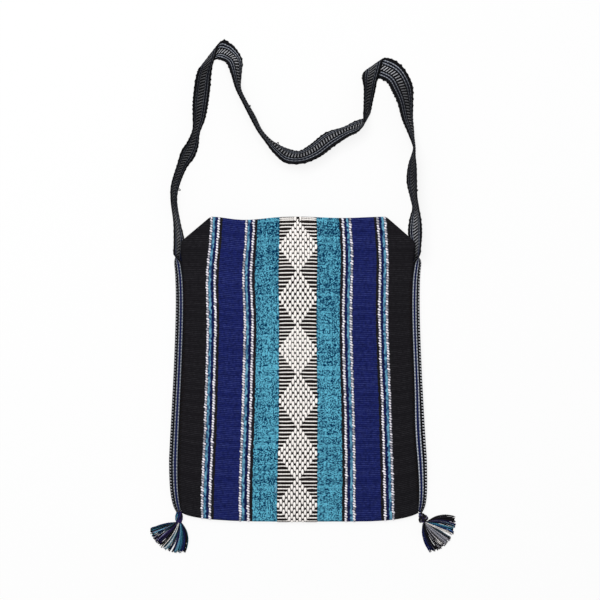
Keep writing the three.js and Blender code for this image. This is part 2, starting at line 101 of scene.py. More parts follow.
def add_piece(name, points, faces, material, weave=None, yarn=None):
    """A mesh piece from points in millimetres and a list of face arrays, riding on the bag."""
    corners = np.concatenate([group.ravel() for group in faces]).astype(np.int32)
    sizes = np.concatenate([np.full(len(group), group.shape[1]) for group in faces])
    mesh = bpy.data.meshes.new(name)
    mesh.vertices.add(len(points))
    mesh.vertices.foreach_set("co", (points * MM).astype(np.float32).ravel())
    mesh.loops.add(len(corners))
    mesh.loops.foreach_set("vertex_index", corners)
    mesh.polygons.add(len(sizes))
    mesh.polygons.foreach_set("loop_start", (np.cumsum(sizes) - sizes).astype(np.int32))
    mesh.polygons.foreach_set("use_smooth", np.ones(len(sizes), bool))
    mesh.update(calc_edges=True)
    if weave is not None:
        layer = mesh.uv_layers.new(name="weave")
        layer.uv.foreach_set("vector", weave[corners].astype(np.float32).ravel())
    if yarn is not None:
        layer = mesh.color_attributes.new("yarn", "FLOAT_COLOR", "POINT")
        layer.data.foreach_set("color", yarn.astype(np.float32).ravel())
    mesh.materials.append(material)
    piece = bpy.data.objects.new(name, mesh)
    bpy.context.scene.collection.objects.link(piece)
    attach(piece, "root")
    print(f"{name}: {len(points)} points, {int((sizes - 2).sum())} triangles")
    return piece


print("nine points make", len(squares(np.arange(9).reshape(3, 3))), "squares")

# %% [markdown]
# ## Shader maths as Python
# A material's pattern is arithmetic on the place in the weave. This small class stands for one output
# socket: adding or multiplying it makes the Math node and links it, so a formula reads as a formula. Colours
# go through Mix nodes, and every other node comes from the one method `node`.

# %% The socket class
class Socket:
    """One output of a material's nodes, with arithmetic."""

    def __init__(self, tree, socket=None):
        self.tree = tree
        self.socket = socket

    def node(self, kind, settings=None, inputs=None, output=0):
        """A new node. Its settings are set first, then its sockets get their values or links."""
        made = self.tree.nodes.new(kind)
        for name, value in (settings or {}).items():
            setattr(made, name, value)
        for name, value in (inputs or {}).items():
            self.feed(value, made.inputs[name])
        return Socket(self.tree, made.outputs[output])

    def feed(self, value, socket):
        """Links a Socket to an input, or sets the input to a plain value."""
        if isinstance(value, Socket):
            self.tree.links.new(value.socket, socket)
        else:
            socket.default_value = value

    def math(self, operation, first, second=0.0):
        """A Math node on one value or two."""
        return self.node("ShaderNodeMath", {"operation": operation}, {0: first, 1: second})

    def apply(self, operation):
        """A function of this value alone, such as its sine."""
        return self.math(operation, self)

    def __add__(self, other):
        return self.math("ADD", self, other)

    def __radd__(self, other):
        return self.math("ADD", other, self)

    def __sub__(self, other):
        return self.math("SUBTRACT", self, other)

    def __rsub__(self, other):
        return self.math("SUBTRACT", other, self)

    def __mul__(self, other):
        return self.math("MULTIPLY", self, other)

    def __rmul__(self, other):
        return self.math("MULTIPLY", other, self)

    def __truediv__(self, other):
        return self.math("DIVIDE", self, other)

    def __rtruediv__(self, other):
        return self.math("DIVIDE", other, self)

    def __pow__(self, other):
        return self.math("POWER", self, other)

    def __rpow__(self, other):
        return self.math("POWER", other, self)

    def __lt__(self, other):
        return self.math("LESS_THAN", self, other)

    def __gt__(self, other):
        return self.math("GREATER_THAN", self, other)

    def __abs__(self):
        return self.apply("ABSOLUTE")

    def part(self, axis):
        """One axis of a place."""
        return self.node("ShaderNodeSeparateXYZ", None, {0: self}, axis)

    def clouds(self, scale):
        """Soft clouds on a flat place, so many to a millimetre."""
        return self.node("ShaderNodeTexNoise", {"noise_dimensions": "2D"}, {"Vector": self, "Scale": scale})

    def mix(self, where_0, where_1):
        """One colour where this value is 0, the other where it is 1."""
        return self.node("ShaderNodeMix", {"data_type": "RGBA"}, {0: self, 6: where_0, 7: where_1}, 2)

    def shading(self, colour):
        """A colour made darker or lighter by this value."""
        settings = {"data_type": "RGBA", "blend_type": "MULTIPLY"}
        return self.node("ShaderNodeMix", settings, {0: 1.0, 6: colour, 7: self}, 2)


print("a socket can:", ", ".join(name for name in vars(Socket) if "__" not in name))

# %% [markdown]
# ## Dyes
# A colour is read from the photograph on the screen's scale of 0 to 255, but a shader counts light, so each
# one is carried over from that scale. All yarn that stands proud of the cloth shares one list of dyes, and so
# the tassels have the colours of the stripes they were cut from.

# %% Dyes
def dye(red, green, blue):
    """Light from the screen's scale: a straight line up to 0.04045 of it, and above that a power of 2.4."""
    shown = np.array([red, green, blue]) / 255
    linear = np.where(shown <= 0.04045, shown / 12.92, ((shown + 0.055) / 1.055) ** 2.4)
    return (*linear.tolist(), 1.0)


DYES = {
    "black": dye(30, 29, 32),
    "charcoal": dye(31, 26, 25),
    "navy": dye(28, 36, 87),
    "teal": dye(57, 122, 147),
    "sky": dye(122, 178, 205),
    "white": dye(255, 250, 246),
    "mist": dye(240, 236, 244),
    "grey": dye(167, 166, 175),
    "slate": dye(84, 104, 118),
    "plum": dye(44, 34, 78),
    "lilac": dye(172, 172, 208),
    "dusk": dye(88, 84, 100),
    "blue": dye(44, 92, 168),
}
print("yarns:", ", ".join(DYES))

# %% [markdown]
# ## A matt finish for yarn
# Cotton and wool hardly shine, and a dark yarn with an ordinary gloss would look grey under a white sky. So
# the gloss is turned down on the shader's own socket, and only colour and relief come from nodes.

# %% Yarn finish
YARN_ROUGHNESS = 0.92
YARN_GLOSS = 0.03


def yarn_finish(name, pattern):
    """A matt material. pattern(start) gives its colour and its height in millimetres."""
    material = bpy.data.materials.new(name)
    material.use_nodes = True
    shader = material.node_tree.nodes["Principled BSDF"]
    shader.inputs["Roughness"].default_value = YARN_ROUGHNESS
    shader.inputs["Specular IOR Level"].default_value = YARN_GLOSS
    start = Socket(material.node_tree)
    colour, height = pattern(start)
    start.feed(colour, shader.inputs["Base Color"])
    bump = start.node("ShaderNodeBump", None, {"Distance": MM, "Height": height})
    start.feed(bump, shader.inputs["Normal"])
    print(f"{name}: {len(material.node_tree.nodes)} nodes")
    return material


print("yarn finish: roughness", YARN_ROUGHNESS, "and gloss", YARN_GLOSS)

# %% [markdown]
# ## The striped cloth
# The cloth is warp-faced: the long threads cover the cross threads, so colour changes only across the cloth,
# and the hidden cross threads show as fine ribs. The stripes are listed once, from the middle out to the
# seam, and both the pattern and the raised yarns take their places from that list.

# %% Stripes
FINE_LINE = 2.95
LINE_GROUP = ["black", "pale", "indigo", "blue", "pale"]
STRIPES = [(21.8, "brocade"), (26.4, "teal")]
STRIPES += [(FINE_LINE, yarn) for yarn in LINE_GROUP] + [(28.0, "navy")]
STRIPES += [(FINE_LINE, yarn) for yarn in LINE_GROUP] + [(26.5, "black")]
stripe_edges = np.cumsum([width for width, _ in STRIPES])
BROCADE_HALF = stripe_edges[0]
BORDER_START = stripe_edges[-2]
SEAM = stripe_edges[-1]
pale_lines = [edge - FINE_LINE / 2 for edge, (_, yarn) in zip(stripe_edges, STRIPES) if yarn == "pale"]
print(f"half width {SEAM:.1f} mm, pale lines at", np.round(pale_lines, 1))

# %% [markdown]
# ## The outline of the cloth
# Two numbers name a place on the cloth: `u`, the distance from the middle warp, and `v`, the distance from
# the front's mouth edge, down the front, round the bottom fold and up the back. Its outline comes first. No
# hand-sewn bag is even: the mouth dips more on the left, the bottom is rounder on the left, and the black
# border is turned in along a diagonal at the mouth's ends. Powers and sines of `u` give each of these a value
# of its own, which a drawn curve would not.

# %% Outline of the cloth
HALF_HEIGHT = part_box("bag_cloth")[1][1] / MM
CORNER_FOLD = 28.0
CORNER_BOW = 1.1
CORNER_Y = HALF_HEIGHT - CORNER_FOLD
BOTTOM_RISE = 8.5
LEFT_ROUND = 3.5  # the power of that rise
RIGHT_ROUND = 6.0
BOTTOM_SAG = 1.5  # the filled-out fold lies this much lower than its corners say
SAG_ROUND = 12
LEFT_DIP = 3.7
RIGHT_DIP = 1.5
LEFT_SKEW = 1.35  # moves the deepest place outwards


def in_border(u):
    """The share of the way across the black border, 0 at its inner edge and 1 at the seam."""
    return np.maximum(0, (np.abs(u) - BORDER_START) / (SEAM - BORDER_START))


def corner_cut(u):
    """How far the turned-in corner lowers the mouth: a power of the way across the border."""
    return CORNER_FOLD * in_border(u) ** CORNER_BOW


def bottom_edge(u):
    """The bottom fold: it sags in the middle and rises with a power of the distance towards the corners."""
    rise = BOTTOM_RISE * np.abs(u / SEAM) ** np.where(u < 0, LEFT_ROUND, RIGHT_ROUND)
    return -HALF_HEIGHT + rise - BOTTOM_SAG * (1 - (u / SEAM) ** SAG_ROUND)


def mouth_edge(u):
    """The mouth: each half dips like a squared sine of a power of u, and the border is cut on a diagonal."""
    way = (np.minimum(np.abs(u), BORDER_START) / BORDER_START) ** np.where(u < 0, LEFT_SKEW, 1.0)
    dip = np.where(u < 0, LEFT_DIP, RIGHT_DIP) * np.sin(np.pi * way) ** 2
    return HALF_HEIGHT - dip - corner_cut(u)


print(f"front {mouth_edge(0.0) - bottom_edge(0.0):.0f} mm high in the middle")

# %% [markdown]
# ## Across the bag
# The cloth narrows a little at the mouth and spreads towards the bottom. The strap's feet pull its upper
# corners out, the knots draw its lower corners in, and below the middle the right seam is drawn in where the
# side wall has opened. Each of these is a formula that fades away from its cause, so that they add up
# smoothly. Points of a mesh could be dragged about by hand instead, but then no yarn could follow them.

# %% Across the bag
MOUTH_SHRINK = 0.054
BOTTOM_SPREAD = 0.063
CORNER_FLARE = 7.6
FLARE_RUN = 30.0
FLARE_POWER = 1.5
FOOT_PULL = 0.36  # the strap's foot pulls the seam out by this share of the flare, most at the run below
FOOT_RUN = 16.0
LEFT_TUCK = 7.5
LEFT_TUCK_RUN = 26.0
RIGHT_TUCK = 3.5
RIGHT_TUCK_RUN = 14.0
TUCK_POWER = 8  # only the cloth near the seam is drawn in
WAIST = 2.0  # the right seam is drawn in by this much at the height below
WAIST_Y = -72.0
WAIST_RUN = 42.0


def bell(place, middle, run):
    """A bell curve: 1 at its middle, and about a third at one run from it."""
    return np.exp(-(((place - middle) / run) ** 2))


def sideways(u, y, flare):
    """Across the bag: u times the spread at that height, moved out or in near the seams.

    The flare fades downwards from the folded corner as an exponential, with a second swell at the strap's
    foot. The tuck fades upwards from the bottom in the same way, and the waist is a bell curve.
    """
    spread = 1 - np.where(y > 0, MOUTH_SHRINK, BOTTOM_SPREAD) * y / HALF_HEIGHT
    drop = np.maximum(0, CORNER_Y - y)
    pull = FOOT_PULL * drop / FOOT_RUN * np.exp(1 - drop / FOOT_RUN)
    out = flare * in_border(u) ** FLARE_POWER * (np.exp(-drop / FLARE_RUN) + pull)
    left_tuck = LEFT_TUCK * np.exp((bottom_edge(u) - y) / LEFT_TUCK_RUN)
    right_tuck = RIGHT_TUCK * np.exp((bottom_edge(u) - y) / RIGHT_TUCK_RUN)
    right_tuck = right_tuck + WAIST * bell(y, WAIST_Y, WAIST_RUN)
    drawn_in = np.where(u < 0, left_tuck, right_tuck) * (u / SEAM) ** TUCK_POWER
    return u * spread + np.sign(u) * (out - drawn_in)


print(f"seams {sideways(SEAM, 0.0, 0.0) - sideways(-SEAM, 0.0, 0.0):.0f} mm apart halfway down")

# %% [markdown]
# ## The height of the front
# The front lies over the side walls like the lid of a flat box: crowned across, slightly rippled at the
# mouth, and coming down to the fold. Three simple curves of the place on the cloth are enough for that, and
# the seams hold the ripple still.

# %% Height of the front
SEAM_HEIGHT = 13.5
CROWN = 2.0
FOLD_RADIUS = 4.0
FOLD_RUN = 60.0
MOUTH_WAVE = 1.1
MOUTH_WAVE_RUN = 70.0
WAVE_LENGTH = 140.0


def off_seam(u):
    """1 over most of the cloth, falling with the fourth power of u to 0 at the seams."""
    return 1 - (u / SEAM) ** 4


def front_height(u, y):
    """Height of the front: a parabola across, a cosine ripple at the mouth, a quarter sine to the fold."""
    risen = np.clip((y - bottom_edge(u) - FOLD_RADIUS) / FOLD_RUN, 0, 1)
    ripple = np.cos(2 * np.pi * u / WAVE_LENGTH) * np.exp((y - mouth_edge(u)) / MOUTH_WAVE_RUN)
    crowned = SEAM_HEIGHT + CROWN * (1 - (u / SEAM) ** 2) - MOUTH_WAVE * ripple * off_seam(u)
    low = 2 * FOLD_RADIUS
    return low + (crowned - low) * np.sin(np.pi / 2 * risen)


print(f"front {front_height(0.0, 0.0):.1f} mm above the table in the middle")

# %% [markdown]
# ## Stripes that wander
# Hand-woven stripes are not straight. The strap has pulled each half of the cloth outwards below the mouth,
# the hips of the bag have spread, and the middle has drifted a little to and fro. Each of these is a bell
# curve down the bag. A slow sway and a soft buckle, made of waves of unlike lengths, keep the rest from
# looking ruled.

# %% Wandering stripes
LEFT_PULL = (-3.2, 105, 38)  # how far, at which height, and over what run
RIGHT_PULL = (3.1, 128, 52)
PULL_WHOLE = 50  # the pull grows from the middle out to this distance
HIPS = (1.4, -95, 70)
HIP_MIDDLE = 56
HIP_RUN = 28
DRIFTS = [(0.5, -55, 50), (-0.6, -160, 40)]
SWAY = 0.55
SWAY_WAVES = (39, 27, 91, 60)
BUCKLE = 0.45
BUCKLE_WAVES = (31, 67, 43)
BUCKLE_BEND = 1.3
BUCKLE_START = 0.7


def wander(u, y):
    """How far the stripes stray: pull of each half, spread of the hips and drifts, as bell curves of y."""
    def stray(size, middle, run):
        """A bell curve down the bag, of a given size."""
        return size * bell(y, middle, run)

    half = np.minimum(1, np.abs(u) / PULL_WHOLE) * (1 - in_border(u))
    pulled = np.where(u < 0, stray(*LEFT_PULL), stray(*RIGHT_PULL))
    spread = np.sign(u) * stray(*HIPS) * bell(np.abs(u), HIP_MIDDLE, HIP_RUN)
    return half * pulled + spread + off_seam(u) * sum(stray(*drift) for drift in DRIFTS)


def sway(u, v):
    """A slow sideways sway: a sine along the cloth times a cosine of another length, both bent by u."""
    first, bend, second, lean = SWAY_WAVES
    return SWAY * np.sin(v / first + np.sin(u / bend)) * np.cos(v / second + u / lean)


def buckle(u, v):
    """Soft unevenness of the height: a bent sine across times a sine along."""
    across, bend, along = BUCKLE_WAVES
    bent = u / across + BUCKLE_BEND * np.sin(v / bend)
    return BUCKLE * np.sin(bent) * np.sin(v / along + BUCKLE_START)


print(f"left stripes pulled out by up to {-wander(-PULL_WHOLE, np.linspace(0, HALF_HEIGHT)).min():.1f} mm")

# %% [markdown]
# ## From the flat cloth to a point
# One function folds the flat cloth into the bag. It could be left to a cloth simulation, but the bag lies
# flat and still, and a formula lets every bead and float of yarn find its own place on the same surface.

# %% Places on the cloth
INSET = 0.5  # the cloth's ground lies this far under the solid's face, and raised yarns fill the rest
LEFT_REACH = 1.0  # the bottom corners reach out to the gathered band
RIGHT_REACH = 2.6
REACH_RUN = 9.0
REACH_POWER = 7
SETTLING = 4  # sway and buckle fade out over one part in so many above the fold
FRONT_LENGTH = 2 * HALF_HEIGHT - FOLD_RADIUS
FOLD_LENGTH = np.pi * FOLD_RADIUS
CLOTH_LENGTH = 2 * FRONT_LENGTH + FOLD_LENGTH
TINY = 1e-9  # keeps a vector of no length from being divided by 0


def cloth_point(u, v, lift=0.0):
    """The place u across and v along the cloth, lifted off its outer face.

    Down the front y goes from the mouth to the fold, round the fold the point turns about the fold's axis by
    the arc length over its radius, and up the back y returns to the mouth at table height.
    """
    u, v, lift = np.broadcast_arrays(u, v, lift)
    past_front = v - FRONT_LENGTH
    past_fold = past_front - FOLD_LENGTH
    centre = bottom_edge(u) + FOLD_RADIUS
    share = np.clip(np.where(past_fold > 0, past_fold, -past_front) / FRONT_LENGTH, 0, 1)
    y_flat = centre + (mouth_edge(u) - centre) * share
    turn = np.clip(past_front / FOLD_RADIUS, 0, np.pi)
    radius = FOLD_RADIUS - INSET + lift
    y = y_flat - radius * np.sin(turn)
    inside = off_seam(u) * np.minimum(1, SETTLING * share)
    on_front = front_height(u, y_flat) - INSET + lift + buckle(u, v) * inside
    round_fold = FOLD_RADIUS + radius * np.cos(turn)
    z = np.where(past_front <= 0, on_front, round_fold)
    near_bottom = np.exp((bottom_edge(u) - y) / REACH_RUN)
    reach = np.where(u < 0, LEFT_REACH, RIGHT_REACH) * (u / SEAM) ** REACH_POWER * near_bottom
    x = sideways(u, y, np.where(past_front <= 0, CORNER_FLARE, 0.0))
    x = x + reach + wander(u, y) + sway(u, v) * inside
    return np.stack([x, y, z], -1)


def unit(vectors):
    """Vectors over their own lengths."""
    return vectors / np.maximum(np.linalg.norm(vectors, axis=-1, keepdims=True), TINY)


def cloth_up(u, v):
    """The way out of the cloth's outer face: the unit vector from a point to the same point lifted."""
    return unit(cloth_point(u, v, 1.0) - cloth_point(u, v, 0.0))


print(f"cloth {2 * SEAM:.0f} mm wide and {CLOTH_LENGTH:.0f} mm long before it was folded")

# %% [markdown]
# ## Tones of the yarns
# A yarn is never of one colour. Each has a dark tone, for the depth between its threads, and a light one, for
# where it catches the light. They were chosen beside the photograph, and the pattern mixes them.

# %% Tones of the yarns
TEAL_DARK = dye(0, 44, 78)
TEAL_LIGHT = dye(96, 180, 206)
BLUE_DARK = dye(20, 56, 102)
BLUE_LIGHT = dye(110, 170, 194)
# the light tones of navy and black are painted highlight, laid along the crests of the ribs
NAVY_DARK = dye(18, 25, 78)
NAVY_HIGHLIGHT = dye(64, 74, 138)
BLACK_DARK = dye(22, 21, 24)
BLACK_HIGHLIGHT = dye(56, 55, 59)
LINE_GROUND = dye(64, 64, 78)  # what shows between the pale beads
BROCADE_GROUND = dye(22, 17, 17)  # and between the white floats
print("teal sends back", np.round(TEAL_DARK[:3], 3), "to", np.round(TEAL_LIGHT[:3], 3), "of the light")

# %% [markdown]
# ## Counts of the weave
# Colours and relief both count the weave: threads across, in pairs, and ribs along. A whole number of ribs
# fills the cloth's length, so that neither mouth edge cuts through one.

# %% Counts of the weave
WARP = 2.1  # from one pair of warp threads to the next
GRAIN = 1.05  # and from one thread to the next
RIBS = 322
RIB = CLOTH_LENGTH / RIBS
print(f"a rib every {RIB:.2f} mm, {2 * SEAM / WARP:.0f} pairs of warp threads")

# %% [markdown]
# ## Colours of the cloth
# Each warp thread shows as a row of small ovals where it passes over a cross thread. The pattern counts warps
# across and picks along, and draws one random number for each cell of such a count. Teal yarn is unevenly
# dyed: a fine grain, rows, long strands and slow clouds add up to its shade. Navy and black yarns differ
# little, so there a painted highlight lies along the crest of each rib, in patches, over the real ribs.

# %% Cloth material
EDGE_JITTER = 0.8  # a stripe's edge moves by up to half of this from row to row
DASH_SHIFT = 40.0  # far enough for other random numbers
DASH_RATE = 0.8  # dashes to a pick
STRAND = 26.0  # a warp thread keeps its shade for about this length
STRAND_SHIFT = 0.37
FADE = 150.0  # teal lightens from the mouth down to here
CLOUDS = 0.035
PATCHES = 0.3
GRAIN_SHARE = 1.35  # the shares of what makes teal lighter
ROW_SHARE = 0.3
STRAND_SHARE = 0.4
CLOUD_SHARE = 0.35
FADE_SHARE = 0.25
TEAL_LEVEL = 0.995  # taken off their sum
BRIGHT_ROW = 0.94  # a row whose number is above this is brighter, by the share below
BRIGHT_SHARE = 0.3
HIGHLIGHT_PATCH = (2.0, 0.35)  # painted highlight on the rib crests comes in patches, and is stronger on some rows
HIGHLIGHT_ROW = 0.4
# how much painted highlight navy and black take on their rib crests
NAVY_RIB_HIGHLIGHT = 0.55
BLACK_RIB_HIGHLIGHT = 0.45
SPECK = (0.75, 0.5)  # a speck's least brightness, and how far it may rise
INDIGO = (0.35, 0.5)
OVAL_RELIEF = 0.12


def striped_pattern(start):
    """The stripe at each distance from the middle, in its yarn's tones; an oval is a product of sines."""
    place = start.node("ShaderNodeUVMap", {"uv_map": "weave"})
    across = place.part(0)
    along = place.part(1)

    def draw(first, second):
        """One random number for each cell of two counts."""
        counts = {0: first.apply("FLOOR"), 1: second.apply("FLOOR")}
        cell = start.node("ShaderNodeCombineXYZ", None, counts)
        return start.node("ShaderNodeTexWhiteNoise", {"noise_dimensions": "2D"}, {"Vector": cell})

    warp = across / WARP
    odd = start.math("FLOORED_MODULO", warp.apply("FLOOR"), 2.0)
    pick = along / RIB + odd * 0.5  # odd warps are half a pick on
    speck = draw(warp, pick)
    row = draw(along / RIB, along * 0.0)  # the same number all the way across
    tick = draw(across / GRAIN, along / GRAIN)
    ovals = abs((warp * np.pi).apply("SINE")) * abs((pick * np.pi).apply("SINE"))
    dash = draw(warp + DASH_SHIFT, pick * DASH_RATE)
    strand = draw(across / GRAIN, along / STRAND + warp * STRAND_SHIFT)
    faded = start.math("MINIMUM", along / FADE, 1.0)
    # painted highlight: navy and black are made lighter along each rib's crest, in patches
    crest = ((along * (2 * np.pi / RIB)).apply("COSINE") * 0.5 + 0.5) ** 2.0
    rib = crest * (place.clouds(PATCHES) * HIGHLIGHT_PATCH[0] - HIGHLIGHT_PATCH[1]) * (HIGHLIGHT_ROW + row)
    shade = tick * GRAIN_SHARE + row * ROW_SHARE + strand * STRAND_SHARE
    shade = shade + place.clouds(CLOUDS) * CLOUD_SHARE + faded * FADE_SHARE - TEAL_LEVEL
    teal = shade.mix(TEAL_DARK, TEAL_LIGHT)
    navy = (SPECK[0] + SPECK[1] * speck).shading(NAVY_DARK)
    navy = (rib * NAVY_RIB_HIGHLIGHT).mix(navy, NAVY_HIGHLIGHT)
    tones = {
        "teal": ((row > BRIGHT_ROW) * BRIGHT_SHARE).mix(teal, TEAL_LIGHT),
        "navy": navy,
        "blue": dash.mix(BLUE_DARK, BLUE_LIGHT),
        "indigo": (INDIGO[0] + INDIGO[1] * dash).shading(navy),
        "black": (rib * BLACK_RIB_HIGHLIGHT).mix(BLACK_DARK, BLACK_HIGHLIGHT),
        "pale": LINE_GROUND,
        "brocade": BROCADE_GROUND,
    }
    off_middle = abs(across) + (row - 0.5) * EDGE_JITTER
    colour = tones["black"]
    for edge, (_, yarn) in list(zip(stripe_edges, STRIPES))[-2::-1]:
        colour = (off_middle < float(edge)).mix(colour, tones[yarn])
    return colour, ovals * OVAL_RELIEF


striped_cloth = yarn_finish("striped_cloth", striped_pattern)

# %% [markdown]
# ## The cloth as one closed sheet
# The outer face is a fine grid, three rows to a rib, so the ribs are real. The lining needs no such detail:
# it takes every sixth row and every fourth column. Along the rims, each coarse step of the lining meets
# several fine steps of the face in one many-sided face, which keeps the sheet closed. At the turned corners
# the weave stays level while the edge runs down, so ribs and colours are counted level too.

# %% Cloth sheet
ROWS_PER_RIB = 3
FACE_COLUMNS = 96
LINING_ROWS = 6
LINING_COLUMNS = 4
RIB_RELIEF = 0.13
SLUB_RELIEF = 0.1
SLUB_WAVES = (6.1, 9.7, 14.3, 11)
SHEET = 1.1  # thickness of the ground weave


def rim(face_edge, lining_edge, step):
    """Faces that join a fine edge to a coarse one: step + 1 points of the first and 2 of the second."""
    starts = np.arange(len(lining_edge) - 1)
    fine = face_edge[starts[:, None] * step + np.arange(step + 1)]
    return np.concatenate([fine, lining_edge[starts + 1, None], lining_edge[starts, None]], 1)


def woven_sheet():
    """Points, faces and weave map of the cloth: ground lifted by a cosine for each rib and slow slubs."""
    u = np.linspace(-SEAM, SEAM, FACE_COLUMNS + 1)[None, :]
    v = np.linspace(0, CLOTH_LENGTH, ROWS_PER_RIB * RIBS + 1)[:, None]
    from_fold = np.maximum(0, np.abs(v - CLOTH_LENGTH / 2) - FOLD_LENGTH / 2) / FRONT_LENGTH
    woven = v + np.sign(CLOTH_LENGTH / 2 - v) * corner_cut(u) * from_fold
    ribs = RIB_RELIEF * np.cos(2 * np.pi * woven / RIB)
    first, second, third, fourth = SLUB_WAVES
    slubs = SLUB_RELIEF * np.sin(u / first + v / second) * np.sin(v / third - u / fourth)
    face = cloth_point(u, v, ribs + slubs)
    lining = cloth_point(u, v, -SHEET)[::LINING_ROWS, ::LINING_COLUMNS]
    top = np.arange(face[..., 0].size).reshape(face.shape[:2])
    under = top.size + np.arange(lining[..., 0].size).reshape(lining.shape[:2])
    faces = [squares(top), squares(under)[:, ::-1]]
    faces.append(rim(top[:, -1], under[:, -1], LINING_ROWS))
    faces.append(rim(top[::-1, 0], under[::-1, 0], LINING_ROWS))
    faces.append(rim(top[0], under[0], LINING_COLUMNS))
    faces.append(rim(top[-1, ::-1], under[-1, ::-1], LINING_COLUMNS))
    flat = np.stack(np.broadcast_arrays(u, woven), -1)
    maps = [flat.reshape(-1, 2), flat[::LINING_ROWS, ::LINING_COLUMNS].reshape(-1, 2)]
    points = np.concatenate([face.reshape(-1, 3), lining.reshape(-1, 3)])
    return points, faces, np.concatenate(maps)


points, faces, weave = woven_sheet()
cloth = add_piece("cloth", points, faces, striped_cloth, weave=weave)
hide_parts("bag_cloth")

# %% [markdown]
# ## The turned-in corners
# At the mouth's two ends the black border is folded to the inside, on the front and on the back. Each flap is
# a small sheet between the diagonal and the tip that now points down, one cloth thickness inside the first
# layer. It is a piece of its own, because the fold itself is hidden between the layers.

# %% Corner flaps
CLOTH = 1.6  # thickness with the raised yarns
FLAP_STEPS = 14
FLAP_LENGTH = 0.9  # share of the way to the tip
FLAP_ENDS = (0.02, 0.94)  # shares of the way along the fold
FRONT_FLAP_DEPTH = 1.6  # cloth thicknesses below the front
BACK_FLAP_HEIGHT = 1.5  # cloth thicknesses above the table


def corner_flap(side, on_front):
    """A triangle of cloth: rows run from the diagonal fold towards the tip, columns along the fold."""
    towards_tip = np.linspace(0.0, FLAP_LENGTH, FLAP_STEPS + 1)[:, None]
    on_fold = BORDER_START + (SEAM - BORDER_START) * np.linspace(*FLAP_ENDS, FLAP_STEPS + 1)[None, :]
    u = on_fold + (BORDER_START - on_fold) * towards_tip
    y = mouth_edge(on_fold) + (CORNER_Y - mouth_edge(on_fold)) * towards_tip
    x = sideways(side * u, y, CORNER_FLARE if on_front else 0.0)
    if on_front:
        middle = front_height(u, y) - FRONT_FLAP_DEPTH * CLOTH
    else:
        middle = np.full_like(y, BACK_FLAP_HEIGHT * CLOTH)
    upper = np.stack([x, y, middle + SHEET / 2], -1)
    lower = np.stack([x, y, middle - SHEET / 2], -1)
    flat = np.stack([side * u, HALF_HEIGHT - y], -1)
    return (upper, lower, flat) if side > 0 else tuple(grid[:, ::-1] for grid in (upper, lower, flat))


def closed_sheet(upper, lower):
    """Faces of a sheet between two like grids, with its rim closed all round."""
    top = np.arange(upper[..., 0].size).reshape(upper.shape[:2])
    ring = np.concatenate([top[0, :-1], top[:-1, -1], top[-1, :0:-1], top[:0:-1, 0]])
    under = ring + top.size
    band = np.stack([ring, np.roll(ring, -1), np.roll(under, -1), under], -1)
    return np.concatenate([squares(top), squares(top)[:, ::-1] + top.size, band])


flaps = [corner_flap(side, on_front) for side in (-1, 1) for on_front in (True, False)]
flap_points = [np.concatenate([upper.reshape(-1, 3), lower.reshape(-1, 3)]) for upper, lower, _ in flaps]
starts = np.cumsum([0] + [len(block) for block in flap_points[:-1]])
flap_faces = [closed_sheet(upper, lower) + start for (upper, lower, _), start in zip(flaps, starts)]
flap_weave = np.concatenate([np.tile(flat.reshape(-1, 2), (2, 1)) for _, _, flat in flaps])
points = np.concatenate(flap_points)
corners = add_piece("turned_corners", points, flap_faces, striped_cloth, weave=flap_weave)

# %% [markdown]
# ## Yarn that stands proud
# The pale lines, the diamonds, the stitches and the tassels are all yarn: an oval carried along a path. A
# bevelled curve could do that too, but one function that carries it along many paths at once makes hundreds
# of small floats in a few array operations.

# %% Yarn along paths
UP = np.array([0.0, 0.0, 1.0])


def carry(paths, up, width, height, sides, turns=0.0):
    """An oval carried along many paths: paths is (copies, steps, 3), width and height are half axes.

    A ring's point is the path's point plus width * cos(a) sideways plus height * sin(a) along up, and the
    oval turns round the path by the given number of turns, as a twisted yarn does. The ends close to a point.
    """
    copies, steps = paths.shape[:2]
    tangent = unit(np.gradient(paths, axis=1))
    side = unit(np.cross(tangent, up))
    rise = np.cross(tangent, side)
    turned = 2 * np.pi * turns * np.linspace(0, 1, steps)[:, None]
    wide = np.cos(turned) * side + np.sin(turned) * rise
    high = np.cos(turned) * rise - np.sin(turned) * side
    angle = 2 * np.pi * np.arange(sides)[:, None] / sides
    width, height = (np.broadcast_to(size, (copies, steps))[..., None, None] for size in (width, height))
    rings = paths[:, :, None] + width * np.cos(angle) * wide[:, :, None]
    rings = rings + height * np.sin(angle) * high[:, :, None]
    tips = np.stack([paths[:, 0], paths[:, -1]], 1)
    points = np.concatenate([rings.reshape(copies, -1, 3), tips], 1)
    index = np.arange(steps * sides).reshape(steps, sides)
    ahead = np.roll(index, -1, 1)
    walls = np.stack([index[:-1], ahead[:-1], ahead[1:], index[1:]], -1).reshape(-1, 4)
    first = np.stack([np.full(sides, steps * sides), ahead[0], index[0]], -1)
    last = np.stack([np.full(sides, steps * sides + 1), index[-1], ahead[-1]], -1)
    start = points.shape[1] * np.arange(copies)[:, None, None]
    quads = (walls[None] + start).reshape(-1, 4)
    caps = (np.concatenate([first, last])[None] + start).reshape(-1, 3)
    return points.reshape(-1, 3), [quads, caps], points.shape[1]


print("a six-sided yarn of two steps has", carry(np.eye(3)[None, :2], UP, 1.0, 1.0, 6)[2], "points")

# %% [markdown]
# ## Colour for each yarn
# A handful of yarn has many colours but one finish. So each point carries its yarn's colour as an attribute,
# one material reads it, and fine clouds on the object's own coordinates stand for the fibres.

# %% Yarn material
FIBRE = 900.0  # fibre clouds per metre
FIBRE_DETAIL = 2.0
FIBRE_SHADE = (0.8, 0.4)  # the darkest fibre, and how far the others rise
FIBRE_RELIEF = 0.25


